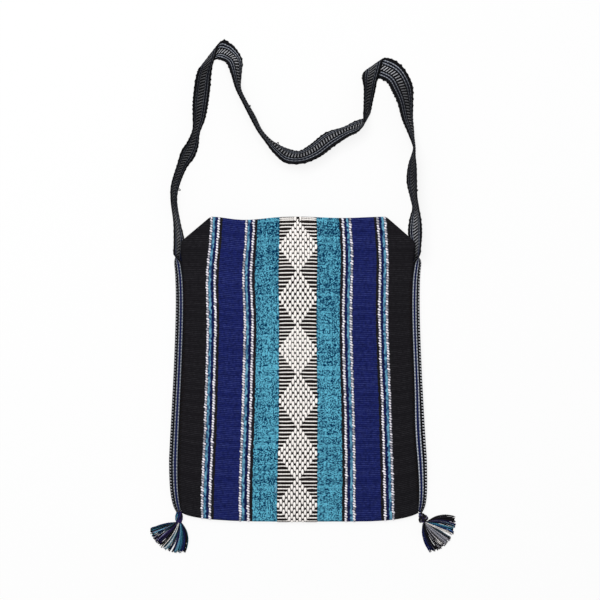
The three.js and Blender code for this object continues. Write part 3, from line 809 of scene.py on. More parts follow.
def yarn_pattern(start):
    """The point's own colour, shaded and raised by the clouds of fibre."""
    place = start.node("ShaderNodeTexCoord", None, None, "Object")
    settings = {"Vector": place, "Scale": FIBRE, "Detail": FIBRE_DETAIL}
    fibre = start.node("ShaderNodeTexNoise", None, settings)
    own = start.node("ShaderNodeAttribute", {"attribute_name": "yarn"}, None, "Color")
    return (FIBRE_SHADE[0] + FIBRE_SHADE[1] * fibre).shading(own), fibre * FIBRE_RELIEF


dyed_yarn = yarn_finish("dyed_yarn", yarn_pattern)


def add_yarn(name, groups):
    """One piece from several groups of carried yarn, each with one colour for every copy."""
    points, faces, yarn, start = [], [], [], 0
    for (block, block_faces, per_copy), colours in groups:
        points.append(block)
        faces += [group + start for group in block_faces]
        yarn.append(np.repeat(colours, per_copy, axis=0))
        start += len(block)
    return add_piece(name, np.concatenate(points), faces, dyed_yarn, yarn=np.concatenate(yarn))


def dyed(names, brightness=None):
    """Colours for a list of yarn names, each made a little darker or lighter."""
    colours = np.array([DYES[name] for name in names])
    if brightness is not None:
        colours[:, :3] *= brightness[:, None]
    return colours


print("half as bright, white yarn is", np.round(dyed(["white"], np.array([0.5])), 2))

# %% [markdown]
# ## Pale lines
# In each group of fine lines two are of thick pale yarn that stands above the rest. Where it passes over a
# cross thread it shows as a slanted bead, and hand-spun yarn makes no two beads alike. So every bead is a
# short oval float, slanted across its line, with its own shade; the outer line of each group is greyer.

# %% Pale beads
rng = np.random.default_rng(7)
BEAD_PITCH = 3.0
BEAD_HALF = 1.05
BEAD_SLANT = 1.2
BEAD_WIDE = 1.12
BEAD_HIGH = 0.62
BEAD_SIDES = 6
BEAD_LIFT = 0.1
BEAD_STRAY = 0.22
LIFT_STRAY = 0.08
SLANTS = (0.5, 1.5)  # the least and the greatest share of the slant
LENGTHS = (0.85, 1.15)
BEAD_SHADES = (0.84, 1.16)
OUTER_SHADE = 0.95
OUTER_GREYS = 0.32  # share of grey beads in the outer lines
INNER_GREYS = 0.12
END_MARGIN = 0.3  # no bead lies over the cloth's ends
bead_profile = np.array([0.5, 1.0, 1.0, 0.5])
bead_steps = np.array([-1.0, -0.4, 0.4, 1.0])
bead_arch = np.array([-0.15, 0.25, 0.25, -0.15])


def lay(across, along, lift, width, height, sides):
    """Yarn that lies on the cloth, through rows of places across and along it."""
    return carry(cloth_point(across, along, lift), cloth_up(across, along), width, height, sides)


bead_v = np.arange(BEAD_PITCH / 2, CLOTH_LENGTH, BEAD_PITCH)
line_u = np.array([side * line for side in (-1, 1) for line in pale_lines])
bead_u, bead_v = (grid.ravel() for grid in np.meshgrid(line_u, bead_v, indexing="ij"))
count = len(bead_u)
slant = BEAD_SLANT * rng.uniform(*SLANTS, (count, 1))
along = bead_v[:, None] + BEAD_HALF * rng.uniform(*LENGTHS, (count, 1)) * bead_steps
across = bead_u[:, None] + rng.normal(0, BEAD_STRAY, (count, 1)) + slant * bead_steps
lift = BEAD_LIFT + bead_arch + rng.uniform(-LIFT_STRAY, LIFT_STRAY, (count, 1))
along = np.clip(along, END_MARGIN, CLOTH_LENGTH - END_MARGIN)
beads = lay(across, along, lift, BEAD_WIDE * bead_profile, BEAD_HIGH * bead_profile, BEAD_SIDES)
outer_line = np.isin(np.abs(bead_u), pale_lines[1::2])
grey_share = np.where(outer_line, OUTER_GREYS, INNER_GREYS)
bead_yarn = np.where(rng.random(count) < grey_share, "grey", "mist")
bead_shade = rng.uniform(*BEAD_SHADES, count) * np.where(outer_line, OUTER_SHADE, 1.0)
pale_beads = add_yarn("pale_lines", [(beads, dyed(bead_yarn, bead_shade))])

# %% [markdown]
# ## The diamonds
# The middle band is a brocade. Its rows are counted from each narrow waist: at a row d steps from the waist a
# white float lies on every second column out to column d, so the floats build a diamond of a checkered net,
# and the dark ground shows as dots between them. The waists are spaced by hand, so their places are listed,
# and the rows between them are spaced evenly. A painted pattern would be simpler, but it would lie flat.

# %% Rows of the brocade
WAISTS = [5.7, 61.8, 124.0, 180.0, 240.3, 300.6]
DIAMOND_LENGTH = 59.1
HIDDEN_WAISTS = 7  # round the fold and up the back
HALF_ROWS = 7  # from a waist to the widest row
DIAMOND_ROWS = 2 * HALF_ROWS
COLUMN = 2 * BROCADE_HALF / (2 * HALF_ROWS + 1)
ROW_MARGIN = 3  # no row is nearer to the back's mouth
LAST_ROW = CLOTH_LENGTH - ROW_MARGIN

waists = np.append(WAISTS, WAISTS[-1] + DIAMOND_LENGTH * np.arange(1, HIDDEN_WAISTS + 1))
rows = np.arange(-1, DIAMOND_ROWS * len(waists))
row_v = np.interp(rows, DIAMOND_ROWS * np.arange(len(waists)), waists)
row_v = np.where(rows < 0, waists[0] + rows * DIAMOND_LENGTH / DIAMOND_ROWS, row_v)
rows, row_v = rows[row_v < LAST_ROW], row_v[row_v < LAST_ROW]
from_waist = HALF_ROWS - np.abs(rows % DIAMOND_ROWS - HALF_ROWS)
print(len(rows), "rows of brocade")

# %% [markdown]
# ## White floats
# A float is a bundle of white yarn that leaves the cloth, passes over one row and dives in again, so it is an
# arched oval, thickest in its middle. The floats of neighbouring rows overlap like roof tiles. One float
# could be repeated by an Array modifier, but here each has a place, a tilt and a shade of its own.

# %% White floats
FLOAT_HALF = 3.4
FLOAT_WIDE = 1.62
FLOAT_HIGH = 0.8
FLOAT_SIDES = 7
FLOAT_STRAY = 0.14  # how far a float tilts or strays along
FLOAT_SHIFT = 0.08  # and across
FLOAT_SHADES = (0.93, 1.0)
FLOAT_MARGIN = 0.4
EDGE_MARGIN = 0.7
float_steps = np.array([-1.0, -0.62, 0.0, 0.62, 1.0])
float_profile = np.array([0.4, 0.88, 1.0, 0.88, 0.4])
float_arch = np.array([-0.35, 0.25, 0.4, 0.25, -0.35])

row, column = np.meshgrid(np.arange(len(rows)), np.arange(-HALF_ROWS, HALF_ROWS + 1), indexing="ij")
reach = from_waist[row]
white = (np.abs(column) <= reach) & ((column - reach) % 2 == 0)
row, column = row[white], column[white]
count = len(row)
tilt = rng.normal(0, FLOAT_STRAY, (count, 1))
across = (column * COLUMN)[:, None] + rng.normal(0, FLOAT_SHIFT, (count, 1)) + tilt * float_steps
along = row_v[row][:, None] + rng.normal(0, FLOAT_STRAY, (count, 1)) + FLOAT_HALF * float_steps
along = np.clip(along, FLOAT_MARGIN, CLOTH_LENGTH - FLOAT_MARGIN)
across = np.clip(across, EDGE_MARGIN - BROCADE_HALF, BROCADE_HALF - EDGE_MARGIN)
floats = lay(across, along, float_arch, FLOAT_WIDE * float_profile, FLOAT_HIGH * float_profile, FLOAT_SIDES)
float_shade = rng.uniform(*FLOAT_SHADES, count)
print(count, "white floats")

# %% [markdown]
# ## Bars beside the diamonds
# Outside the diamonds, dark and white cross threads lie as bars from the diamond's edge to the band's edge.
# Each is a yarn that swells a little at every warp thread and bends a little, as hand-beaten threads do.
# They could be drawn on the ground as stripes, but round bars catch the light and end bluntly, as yarn does.

# %% Bars
BAR_STEPS = 15
BAR_SIDES = 6
BAR_BEND = 0.25
BAR_MARGIN = 0.5
BLUNT_RISE = 4  # how fast a bar grows from its blunt end
BLUNT_END = 0.45
DARK_START = 0.62  # columns past the diamond's edge
LIGHT_START = 0.2
DARK_BAR = {"half_width": 1.3, "height": 0.66, "lift": 0.12, "beading": 0.05}
LIGHT_BAR = {"half_width": 0.8, "height": 0.56, "lift": 0.12, "beading": 0.18}
DARK_SHADES = (0.8, 1.3)
LIGHT_SHADES = (0.85, 1.0)
bar_t = np.linspace(0, 1, BAR_STEPS)
bar_ends = np.minimum(1, BLUNT_RISE * np.minimum(bar_t, 1 - bar_t) + BLUNT_END)


def bars(inner, v, half_width, height, lift, beading):
    """Bars from a distance off the middle to the band's edge on both sides, swelling as a cosine."""
    inner = np.concatenate([inner, inner])[:, None]
    side = np.repeat([-1.0, 1.0], len(v))[:, None]
    across = side * (inner + (BROCADE_HALF - inner) * bar_t)
    bend = rng.normal(0, BAR_BEND, (len(across), 1)) * np.sin(np.pi * bar_t)
    along = np.clip(np.tile(v, 2)[:, None] + bend, BAR_MARGIN, CLOTH_LENGTH - BAR_MARGIN)
    swell = bar_ends * (1 + beading * np.cos(2 * np.pi * across / COLUMN))
    return lay(across, along, lift, half_width * swell, height * swell, BAR_SIDES)


dark = (from_waist < HALF_ROWS) & (rows >= 0)
dark_bars = bars((from_waist[dark] + DARK_START) * COLUMN, row_v[dark], **DARK_BAR)
between = np.append((row_v[:-1] + row_v[1:]) / 2, row_v[0])
widest = np.append(np.maximum(from_waist[:-1], from_waist[1:]), from_waist[0])
light = widest < HALF_ROWS
light_bars = bars((widest[light] + LIGHT_START) * COLUMN, between[light], **LIGHT_BAR)
darks = 2 * dark.sum()
lights = 2 * light.sum()
groups = [
    (floats, dyed(["white"] * count, float_shade)),
    (dark_bars, dyed(["charcoal"] * darks, rng.uniform(*DARK_SHADES, darks))),
    (light_bars, dyed(["white"] * lights, rng.uniform(*LIGHT_SHADES, lights))),
]
brocade = add_yarn("brocade", groups)

# %% [markdown]
# ## The folded band
# One band makes both side walls and the strap. It is described by its two edges. On a side wall they follow
# the seams of the front and the back, and since those are nearer to each other than the band is wide, its
# middle folds outwards to a crest. Below each bottom corner the band ends in a knot.

# %% Ends and crest of the band
BAND_WIDTH = 26.0
BAND = 1.8  # thickness
KNOT_OUT = 4.0
KNOT_RISE = 1.5
KNOT_RADIUS = 4.2


def band_end(side):
    """Where the gathered band meets its knot: just outside the cloth's bottom corner."""
    corner = float(sideways(side * SEAM, bottom_edge(SEAM), 0.0))
    return np.array([corner + side * KNOT_OUT, bottom_edge(SEAM) + KNOT_RISE, KNOT_RADIUS])


def crest_of(front, back, width, outward):
    """The fold between two edges: half the width from both, on the outward side of their middle.

    So it stands off that middle by the root of half the width squared less half the edges' distance squared.
    """
    across = front - back
    stands_off = np.sqrt(np.maximum(0, (width / 2) ** 2 - (across**2).sum(-1) / 4))
    along = unit(across)
    direction = unit(outward - (outward * along).sum(-1, keepdims=True) * along)
    return (front + back) / 2 + stands_off[:, None] * direction


print("band ends at", np.round(band_end(-1)), "and", np.round(band_end(1)))

# %% [markdown]
# ## The side walls
# A side wall is a row of stations from the knot up to the end of the seams, each with a front edge, a crest
# and a back edge. Sewn-in cloth crumples, so the crest stands out less than it could. Only near its ends,
# where the knot and the strap pull, and at the right waist is the wall drawn smooth.

# %% Side walls
SEAM_GAP = 0.2
CRUMPLED = 0.86  # a crumpled wall stands out as if the band had only this share of its width
STRETCHED = 1.12  # and a smooth one, near its ends, as if it had more
CRUMPLE_RUN = 24.0
WAIST_OPENING = 0.5  # how much smoother the right wall is at its waist
GATHER_RUN = 60.0
GATHERED_WIDTH = 7.0
GATHERED_EDGES = 5.0
WALL_START = 3.0
SEAM_END = 24.0
WALL_STATIONS = 40
STATION_POWER = 1.5  # stations crowd towards the knot


def wall_stations(side):
    """Front edge, crest and back edge of a side wall, from the knot up to the end of the seams.

    The band widens from its gathered end with the cube root of the distance, and it is smooth near both
    ends, fading as exponentials, and at the right waist.
    """
    end = band_end(side)[None]
    low = end[0, 1] + WALL_START
    y = low + (CORNER_Y - SEAM_END - low) * np.linspace(0, 1, WALL_STATIONS) ** STATION_POWER
    u = np.full_like(y, side * SEAM)
    outward = np.array([side, 0.0, 0.0])
    front = np.stack([sideways(u, y, CORNER_FLARE), y, front_height(u, y) - CLOTH / 2], -1)
    back = np.stack([sideways(u, y, 0.0), y, np.full_like(y, CLOTH / 2)], -1)
    gathered = np.cbrt(np.clip((y - end[0, 1]) / GATHER_RUN, 0, 1))
    width = GATHERED_WIDTH + (BAND_WIDTH - GATHERED_WIDTH) * gathered
    smooth = np.exp((low - y) / GATHER_RUN) + np.exp((y - y[-1]) / CRUMPLE_RUN)
    smooth = smooth + WAIST_OPENING * (side > 0) * bell(y, WAIST_Y, WAIST_RUN)
    crumpled = CRUMPLED + (STRETCHED - CRUMPLED) * np.minimum(1, smooth)
    crest = crest_of(front, back, crumpled * width, outward)
    front = front + SEAM_GAP * unit(crest - front)
    back = back + SEAM_GAP * unit(crest - back)
    half = GATHERED_EDGES / 2 * UP
    end_crest = crest_of(end + half, end - half, np.array([GATHERED_WIDTH]), outward)
    pairs = [(end + half, front), (end_crest, crest), (end - half, back)]
    return np.stack([np.concatenate(pair) for pair in pairs], 1)


left_wall = wall_stations(-1)
right_wall = wall_stations(1)
print(f"side walls {np.ptp(left_wall[..., 1]):.0f} and {np.ptp(right_wall[..., 1]):.0f} mm high")

# %% [markdown]
# ## The strap's route
# Above the mouth the band leans on one edge, turns over and folds on itself, as a limp strap does when it is
# dropped. A simulation would never fall in the same way, so the route is listed, measured from the strap's
# feet. A point of three numbers is the place across and along and the lean in degrees. Where the band is
# folded, a point holds its two edges instead.

# %% Route of the strap
LEFT_ROUTE = [
    [4.7, -4, 69], [5.3, 6.4, 65], [5.1, 15.6, 66], [3, 33, 75], [-0.5, 59, 77], [0.5, 74, 73], [9, 99, 67],
    [15.5, 112, 54], [21, 123, 62], [25, 138, 73], [28, 153, 60], [30, 172, 50], [32.5, 193, 49],
    [33.8, 201.9, 53],
    [[28.2, 209.5, 21.5], [43.5, 215, 2.6]], [[28.7, 210.5, 18], [46.2, 223.6, 4.6]],
    [[29.3, 211.4, 13], [48.9, 233.4, 4.6]], [[30.1, 212.2, 9], [51.5, 240.9, 2.8]],
    [[33.1, 213.5, 5.5], [53.9, 243.2, 1]], [[40.1, 217.6, 1.6], [58.1, 244.4, 1]],
    [[47.6, 221.8, 1], [63, 241, 1]], [[54.1, 220.3, 6], [67.8, 237.6, 1]],
    [69, 218.5, 134], [71.1, 203.5, 116], [73.3, 187.3, 103], [80.3, 172, 101], [89.2, 156, 104],
    [98.2, 138.5, 102], [107.4, 127.3, 106], [117.6, 117.8, 118], [130.3, 109.8, 132],
]
RIGHT_ROUTE = [
    [-138, 108.5, 128], [-122.2, 115.9, 136], [-104.4, 129.2, 137], [-84.6, 138.4, 121],
    [[-74.7, 135.6, 21.6], [-75.8, 150.5, 1]], [[-69.7, 139.7, 22], [-68, 153, 1]],
    [[-66.6, 144, 22.5], [-61.5, 155.6, 1]], [[-66.3, 149.1, 23], [-58.4, 159, 1]],
    [[-66.6, 155.8, 23.5], [-57.1, 163.5, 1]],
    [-61.5, 164.6, 69], [-60.7, 172.5, 66], [-59, 188, 57],
    [[-67.8, 198.3, 19.5], [-50.2, 197.2, 3.2]], [[-67.3, 202, 17], [-47.1, 208.1, 4.6]],
    [[-66.3, 205, 11.5], [-43.6, 220.2, 4.6]], [[-65.3, 206.8, 7.5], [-42.2, 223.3, 2.8]],
    [[-62.3, 206.1, 4.2], [-39.1, 223.7, 1]], [[-55.7, 202.9, 1.4], [-33.9, 222.6, 1]],
    [[-48.7, 200.4, 1], [-28.1, 219.8, 1]],
    [-29.3, 203.6, 172], [-21.5, 189.2, 166], [-18, 172.5, 137], [-15.6, 153, 122], [-11.5, 135.7, 108],
    [-9, 118.5, 92], [-10, 100, 72], [-10.6, 81.7, 66], [-8.3, 62, 75], [-6.3, 50.7, 76], [-6.6, 37, 62],
    [-6.8, 20.8, 55], [-5.6, 6.4, 67], [-6.3, -4, 70],
]
print(len(LEFT_ROUTE), "points from the left foot and", len(RIGHT_ROUTE), "from the right one")

# %% [markdown]
# ## The strap's edges
# The lean turns the band about its route, and the lower edge rests on the table. A strip of faces could be
# bent by hand to the same end, but with edges worked out from a route, a point can be moved and all the rest
# follows.

# %% Strap
STRAP_OUT = 7.9
STRAP_DROP = 12.0
CURL = 2.0  # the middle of the leaning band bulges towards its outer face


def strap_stations():
    """Edges of the strap, with their middle.

    A leaning point has its edges half the width to each side of the route, turned by the lean about the
    route, the lower one on the table. A folded point names both edges.
    """
    foot = np.array([float(sideways(SEAM, CORNER_Y, CORNER_FLARE)) + STRAP_OUT, 0.0, 0.0])
    start = np.array([0.0, CORNER_Y - STRAP_DROP, 0.0])
    route = [(point, start - foot) for point in LEFT_ROUTE]
    route += [(point, start + foot) for point in RIGHT_ROUTE]
    folded = np.array([len(point) == 2 for point, _ in route])
    both = [point if len(point) == 2 else [[*point[:2], 0], [*point[:2], 0]] for point, _ in route]
    edges = np.array(both) + np.array([place for _, place in route])[:, None]
    lean = np.radians([90 if len(point) == 2 else point[2] for point, _ in route])[:, None]
    middle = edges.mean(1) * [1, 1, 0]
    ahead = np.concatenate([middle[1:], middle[-1:]])
    behind = np.concatenate([middle[:1], middle[:-1]])
    tangent = unit(ahead - behind)
    reach = BAND_WIDTH / 2 * (np.cos(lean) * np.cross(UP, tangent) + np.sin(lean) * UP)
    raised = middle + (reach[:, 2:] + BAND / 2 * np.abs(np.cos(lean))) * UP
    leaning = np.stack([raised + reach, raised - reach], 1)
    front, back = np.moveaxis(np.where(folded[:, None, None], edges, leaning), 1, 0)
    curl = CURL * unit(np.cross(front - back, tangent)) * ~folded[:, None]
    return np.stack([front, (front + back) / 2 + curl, back], 1)


stations = np.concatenate([left_wall, strap_stations(), right_wall[::-1]])
print(len(stations), "stations along the band")

# %% [markdown]
# ## A smooth band
# A woven band has no kinks, so a smooth curve runs through the stations. A curve object could do this, but
# here the two edges and the crest have to stay in step, so all three go through the same formula. It is
# sampled at equal steps of length, because the weave is even along the band.

# %% Smooth curve
RUNG = 3.45  # from one rung of the band's ladder to the next
STEPS_PER_RUNG = 4
TRIAL_STEPS = 40  # for each station, to measure the length


def smooth_through(points, places):
    """A smooth curve: blends of the lines through four neighbours, timed by the roots of their distances."""
    ends = 2 * points[[0, -1]] - points[[1, -2]]
    padded = np.concatenate([ends[:1], points, ends[1:]])
    gaps = np.sqrt(np.linalg.norm(np.diff(padded.reshape(len(padded), -1), axis=0), axis=1))
    times = np.concatenate([[0], np.cumsum(gaps)])
    cell = np.minimum(places.astype(int), len(points) - 2)
    t0, t1, t2, t3 = (times[cell + k][:, None, None] for k in range(4))
    p0, p1, p2, p3 = (padded[cell + k] for k in range(4))
    t = t1 + (places - cell)[:, None, None] * (t2 - t1)

    def blend(a, b, start, end):
        """On the line from a to b, at the share of the time from start to end."""
        return a + (b - a) * (t - start) / (end - start)

    early, middle, late = blend(p0, p1, t0, t1), blend(p1, p2, t1, t2), blend(p2, p3, t2, t3)
    return blend(blend(early, middle, t0, t2), blend(middle, late, t1, t3), t1, t2)


def equal_steps(points, step):
    """The smooth curve's stations at equal lengths along its middle line, and that length."""
    fine = np.linspace(0, len(points) - 1, TRIAL_STEPS * len(points))
    middle = smooth_through(points, fine)[:, 1]
    run = np.concatenate([[0], np.cumsum(np.linalg.norm(np.diff(middle, axis=0), axis=1))])
    wanted = np.linspace(0, run[-1], int(run[-1] / step) + 1)
    return smooth_through(points, np.interp(wanted, run, fine)), wanted


edges, band_run = equal_steps(stations, RUNG / STEPS_PER_RUNG)
BAND_LENGTH = band_run[-1]
print(f"band {BAND_LENGTH:.0f} mm from knot to knot, in {len(edges)} steps")

# %% [markdown]
# ## The band's surface
# The section runs across the curve from edge to edge: straight where the strap lies free, and a rounded roof
# where a wall is folded. The selvages have small picots, the loops that the cross thread makes when it turns
# back. No two picots are alike, so waves of unlike lengths change their places and sizes.

# %% Band grid
BAND_COLUMNS = 24
CREST_ROUND = 0.16
PICOT = 1.2
PICOT_PITCH = 1.6 * RUNG
PICOT_BEND = (2, 7)  # picots come faster and slower: by how much, and over what length
PICOT_SIZES = (0.4, 0.6, 11.3)  # the least share, how far it rises, and over what length
SELVAGE = 0.99  # past this share of the half width the band has its picots

front, crest, back = (edges[:, k][:, None] for k in range(3))
side = np.linspace(1, -1, BAND_COLUMNS + 1)[None, :, None]
blunt = np.sqrt(side**2 + CREST_ROUND**2)
peak = (np.sqrt(1 + CREST_ROUND**2) - blunt) / (np.sqrt(1 + CREST_ROUND**2) - CREST_ROUND)
middle = (front + back) / 2
bent_run = 2 * np.pi * band_run / PICOT_PITCH + PICOT_BEND[0] * np.sin(band_run / PICOT_BEND[1])
sizes = PICOT_SIZES[0] + PICOT_SIZES[1] * np.sin(band_run / PICOT_SIZES[2]) ** 2
picot = (PICOT * np.maximum(0, np.cos(bent_run)) * sizes)[:, None, None]
reach = 1 + picot / (BAND_WIDTH / 2) * (np.abs(side) > SELVAGE)
sheet = middle + (front - back) / 2 * side * reach + (crest - middle) * peak
outward = unit(np.cross(np.gradient(sheet, axis=0), np.gradient(sheet, axis=1)))
print(f"picots stand out by up to {picot.max():.1f} mm")

# %% [markdown]
# ## The band's colours
# Across the band lie a black selvage, a dotted pale line, a navy line, another dotted line, and in the middle
# a ladder of pale rungs on black, mirrored on the other half. The inner face of such a band shows the same
# yarns less clearly. The weave map holds the distance across and along; the inner face is shifted sideways on
# it, so one material can tell the two faces apart. How clearly the pattern shows is a value carried by the
# points, read from a short list of places along the band. It is partly wear and partly painted light: the
# pattern is made brighter where the band faces up to the lamp and darker where it leans away.

# %% Band material
DOT = 3.7
DOTTED = [5.3, 8.6]  # middle of each dotted line, from the band's middle
DOTTED_HALF = 0.5
DOT_EDGE = 0.2  # a dot shows where its cosine is above this
LADDER_HALF = 2.9
INNER_LADDER = 1.4  # the inner face's ladder is wider by this on each side
RUNG_EDGE = 0.5
RUNG_SLANT = 0.15
INNER_SLANT = 0.25
NAVY_HALF = 1.0
NAVY_SHOWN = (0.9, 0.85)  # on the walls, and how much less on the strap
INNER_SHIFT = 60.0  # how far the inner face is moved on the weave map
INNER_MUTED = 0.6
WALL_RUN = 305.0  # length of a side wall along the band
FOOT_BLEND = 30.0  # and from there to where the strap's own look begins
BAND_FIBRE = 0.8
BAND_WEAR = 0.05
BAND_RELIEF = 0.3
LEAST_SHOWN = 0.3  # where the fibres hide the pattern most
WORN_MIDDLE = 0.5
LINE_SHOWN = 0.72  # how strongly the yarns of each kind cover the black
DOT_SHOWN = 0.32
RUNG_SHOWN = 0.58
BAND_NAVY = dye(22, 30, 74)
BAND_LINE = dye(140, 148, 162)
BAND_GREY = dye(236, 238, 244)
BAND_BLACK = dye(8, 8, 10)
BAND_SHEEN = dye(26, 26, 29)


def band_pattern(start):
    """Lines by the distance off the middle, dots and rungs where a cosine along the band is high."""
    place = start.node("ShaderNodeUVMap", {"uv_map": "weave"})
    along = place.part(1)
    inner = place.part(0) > (INNER_SHIFT / 2)
    across = place.part(0) - inner * INNER_SHIFT
    off_middle = abs(across)
    to_end = start.math("MINIMUM", along, BAND_LENGTH - along)
    dots = (along * (2 * np.pi / DOT)).apply("COSINE") > DOT_EDGE
    lines = sum((abs(off_middle - line) < DOTTED_HALF) for line in DOTTED)
    navy = abs(off_middle - sum(DOTTED) / 2) < NAVY_HALF
    slanted = along + across * (RUNG_SLANT + INNER_SLANT * inner)
    past_foot = start.math("MAXIMUM", (to_end - WALL_RUN) / FOOT_BLEND, 0.0)
    strap = start.math("MINIMUM", past_foot, 1.0)
    ladder = off_middle < (LADDER_HALF + inner * INNER_LADDER)
    rungs = ((slanted * (2 * np.pi / RUNG)).apply("COSINE") > RUNG_EDGE) * ladder
    fibre = place.clouds(BAND_FIBRE)
    # painted light mixed with wear: the pattern is brighter where the band faces up, darker where it leans
    worn_and_painted_light = start.node("ShaderNodeAttribute", {"attribute_name": "yarn"}, None, "Fac")
    shown = (LEAST_SHOWN + fibre) * (1 - strap * (WORN_MIDDLE - place.clouds(BAND_WEAR))) * worn_and_painted_light
    muted = (1 - INNER_MUTED * inner) * shown
    colour = fibre.mix(BAND_BLACK, BAND_SHEEN)
    colour = (navy * (NAVY_SHOWN[0] - NAVY_SHOWN[1] * strap)).mix(colour, BAND_NAVY)
    colour = (lines * LINE_SHOWN * muted).mix(colour, BAND_LINE)
    colour = (lines * dots * DOT_SHOWN * muted).mix(colour, BAND_GREY)
    colour = (rungs * RUNG_SHOWN * muted).mix(colour, BAND_GREY)
    return colour, fibre * BAND_RELIEF


woven_band = yarn_finish("woven_band", band_pattern)

# %% [markdown]
# ## The band's relief
# The dotted lines and the rungs are thicker yarns, so they also stand out of the surface, and the band thins
# towards its selvages. The same grid, moved to both sides by half the thickness, gives the two faces. On the
# side walls the selvages are inside the seams, so only the inner part of the pattern is spread over them.

# %% Band relief
SEWN_IN = 0.79  # share of the half width that a side wall shows
DOT_RELIEF = 0.28
RUNG_RELIEF = 0.3
RUNG_TOP = 0.3  # a rung stands where its cosine is above this
GROUND_DROP = 0.15
SELVAGE_HALF = 1.08 * BAND_WIDTH / 2
SELVAGE_POWER = 8
WEAR_AND_PAINTED_LIGHT = [  # how clearly the pattern shows at these places along the band: partly wear, partly painted light
    [0, 0.4], [25, 0.9], [295, 0.9], [312, 2.2], [335, 2.2], [360, 0.65], [540, 0.65], [552, 1.0],
    [580, 0.9], [605, 0.3], [675, 0.3], [700, 0.6], [855, 0.6], [875, 1.1], [905, 0.95], [930, 0.25],
    [1005, 0.35], [1070, 0.6], [1085, 2.2], [1112, 2.2], [1125, 1.0], [1140, 1.7], [1400, 1.7], [1425, 0.4],
]

run = band_run[:, None]
on_strap = np.clip((np.minimum(run, BAND_LENGTH - run) - WALL_RUN) / FOOT_BLEND + 1, 0, 1)
place = BAND_WIDTH / 2 * side[..., 0] * (SEWN_IN + (1 - SEWN_IN) * on_strap)
off_middle = np.abs(place)
dotted = sum(bell(off_middle, line, DOTTED_HALF) for line in DOTTED)
rungs = (np.cos(2 * np.pi * (run + place * RUNG_SLANT) / RUNG) > RUNG_TOP) * (off_middle < LADDER_HALF)
relief = DOT_RELIEF * dotted * np.cos(2 * np.pi * run / DOT) + RUNG_RELIEF * rungs
rounded = BAND / 2 * (1 - (off_middle / SELVAGE_HALF) ** SELVAGE_POWER)
thick = (rounded + relief - GROUND_DROP)[..., None]
outer, inner = sheet + outward * thick, sheet - outward * thick
flat = np.stack(np.broadcast_arrays(place, run), -1)
weave = np.concatenate([flat.reshape(-1, 2), (flat + [INNER_SHIFT, 0.0]).reshape(-1, 2)])
points = np.concatenate([outer.reshape(-1, 3), inner.reshape(-1, 3)])
# painted light mixed with wear, read from the list for each point of the band
worn_and_painted_light = np.interp(band_run, *np.transpose(WEAR_AND_PAINTED_LIGHT))
worn_and_painted_light = np.tile(np.repeat(worn_and_painted_light, BAND_COLUMNS + 1)[:, None], (2, 4))
band = add_piece("band", points, [closed_sheet(outer, inner)], woven_band, weave, worn_and_painted_light)
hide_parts("strap_band")

# %% [markdown]
# ## Seam stitches
# The band is sewn to the front and to the back with a whip stitch of black thread: short slanted stitches
# that go over both edges. Each is a small bow from a point on the cloth to a point on the band. Painted
# stitches would show as well from above, but these also bridge the gap between cloth and band.

# %% Whip stitches
STITCH_PITCH = 5.0
STITCH_BITE = 2.2
STITCH_LEAN = 0.6  # pitches from a stitch's start to its end
STITCH_LIFT = 0.15
STITCH_OUT = 1.2  # past the cloth's edge, on the band
STITCH_BOW = 0.8
STITCH_HALF = 0.42
STITCH_SIDES = 5
FIRST_STITCH = 2  # below the end of the seam
LAST_STITCH = 8  # above the fold
stitch_profile = np.array([0.5, 0.9, 1.0, 1.0, 0.9, 0.5])


def stitch_rows():
    """Bows along the four seams: straight lines from cloth to band, raised by a sine."""
    first_v = np.arange(CORNER_FOLD + SEAM_END + FIRST_STITCH, FRONT_LENGTH - LAST_STITCH, STITCH_PITCH)
    last_v = first_v + STITCH_LEAN * STITCH_PITCH
    t = np.linspace(0, 1, len(stitch_profile))[None, :, None]
    rows = []
    for side in (-1.0, 1.0):
        for on_back in (False, True):
            v, ahead = (CLOTH_LENGTH - at if on_back else at for at in (first_v, last_v))
            start = cloth_point(side * (SEAM - STITCH_BITE), v, STITCH_LIFT)[:, None]
            end = cloth_point(side * SEAM, ahead, -SHEET / 2)[:, None] + [side * STITCH_OUT, 0, 0]
            up = STITCH_BOW * cloth_up(side * SEAM, v)[:, None]
            rows.append(start + (end - start) * t + np.sin(np.pi * t) * up)
    return np.concatenate(rows)


stitches = stitch_rows()
stitched = carry(stitches, UP, STITCH_HALF * stitch_profile, STITCH_HALF * stitch_profile, STITCH_SIDES)
add_yarn("seam_stitches", [(stitched, dyed(["charcoal"] * len(stitches)))])

# %% [markdown]
# ## Loose threads
# No hand-made band is perfect: a few loops of its cross thread stick out of the selvages, a black end lies
# over the mouth's edge and a blue thread is pulled out of the brocade's side. The loops start from the
# nearest point of the band's edges, and the two threads lie on the cloth.

# %% Strays
STRAY_TIPS = np.array([[-135.5, 205.9], [-54.6, 303.6], [-22.4, 261.1], [137.3, 204.8]])
STRAY_HALF = 0.9
STRAY_STEPS = 8
STRAY_THICK = 0.5
STRAY_SIDES = 5
THREAD_WIDE = 0.75
MOUTH_END = {"u": 1.0, "swing": 0.5, "bends": 4, "v": 0.6, "length": 5.2, "lift": 1.0, "arch": 0.0}
PULLED_OUT = {"u": -24.0, "swing": 1.2, "bends": 3, "v": 305, "length": 11, "lift": 0.2, "arch": 0.8}
stray_t = np.linspace(0, 1, STRAY_STEPS)


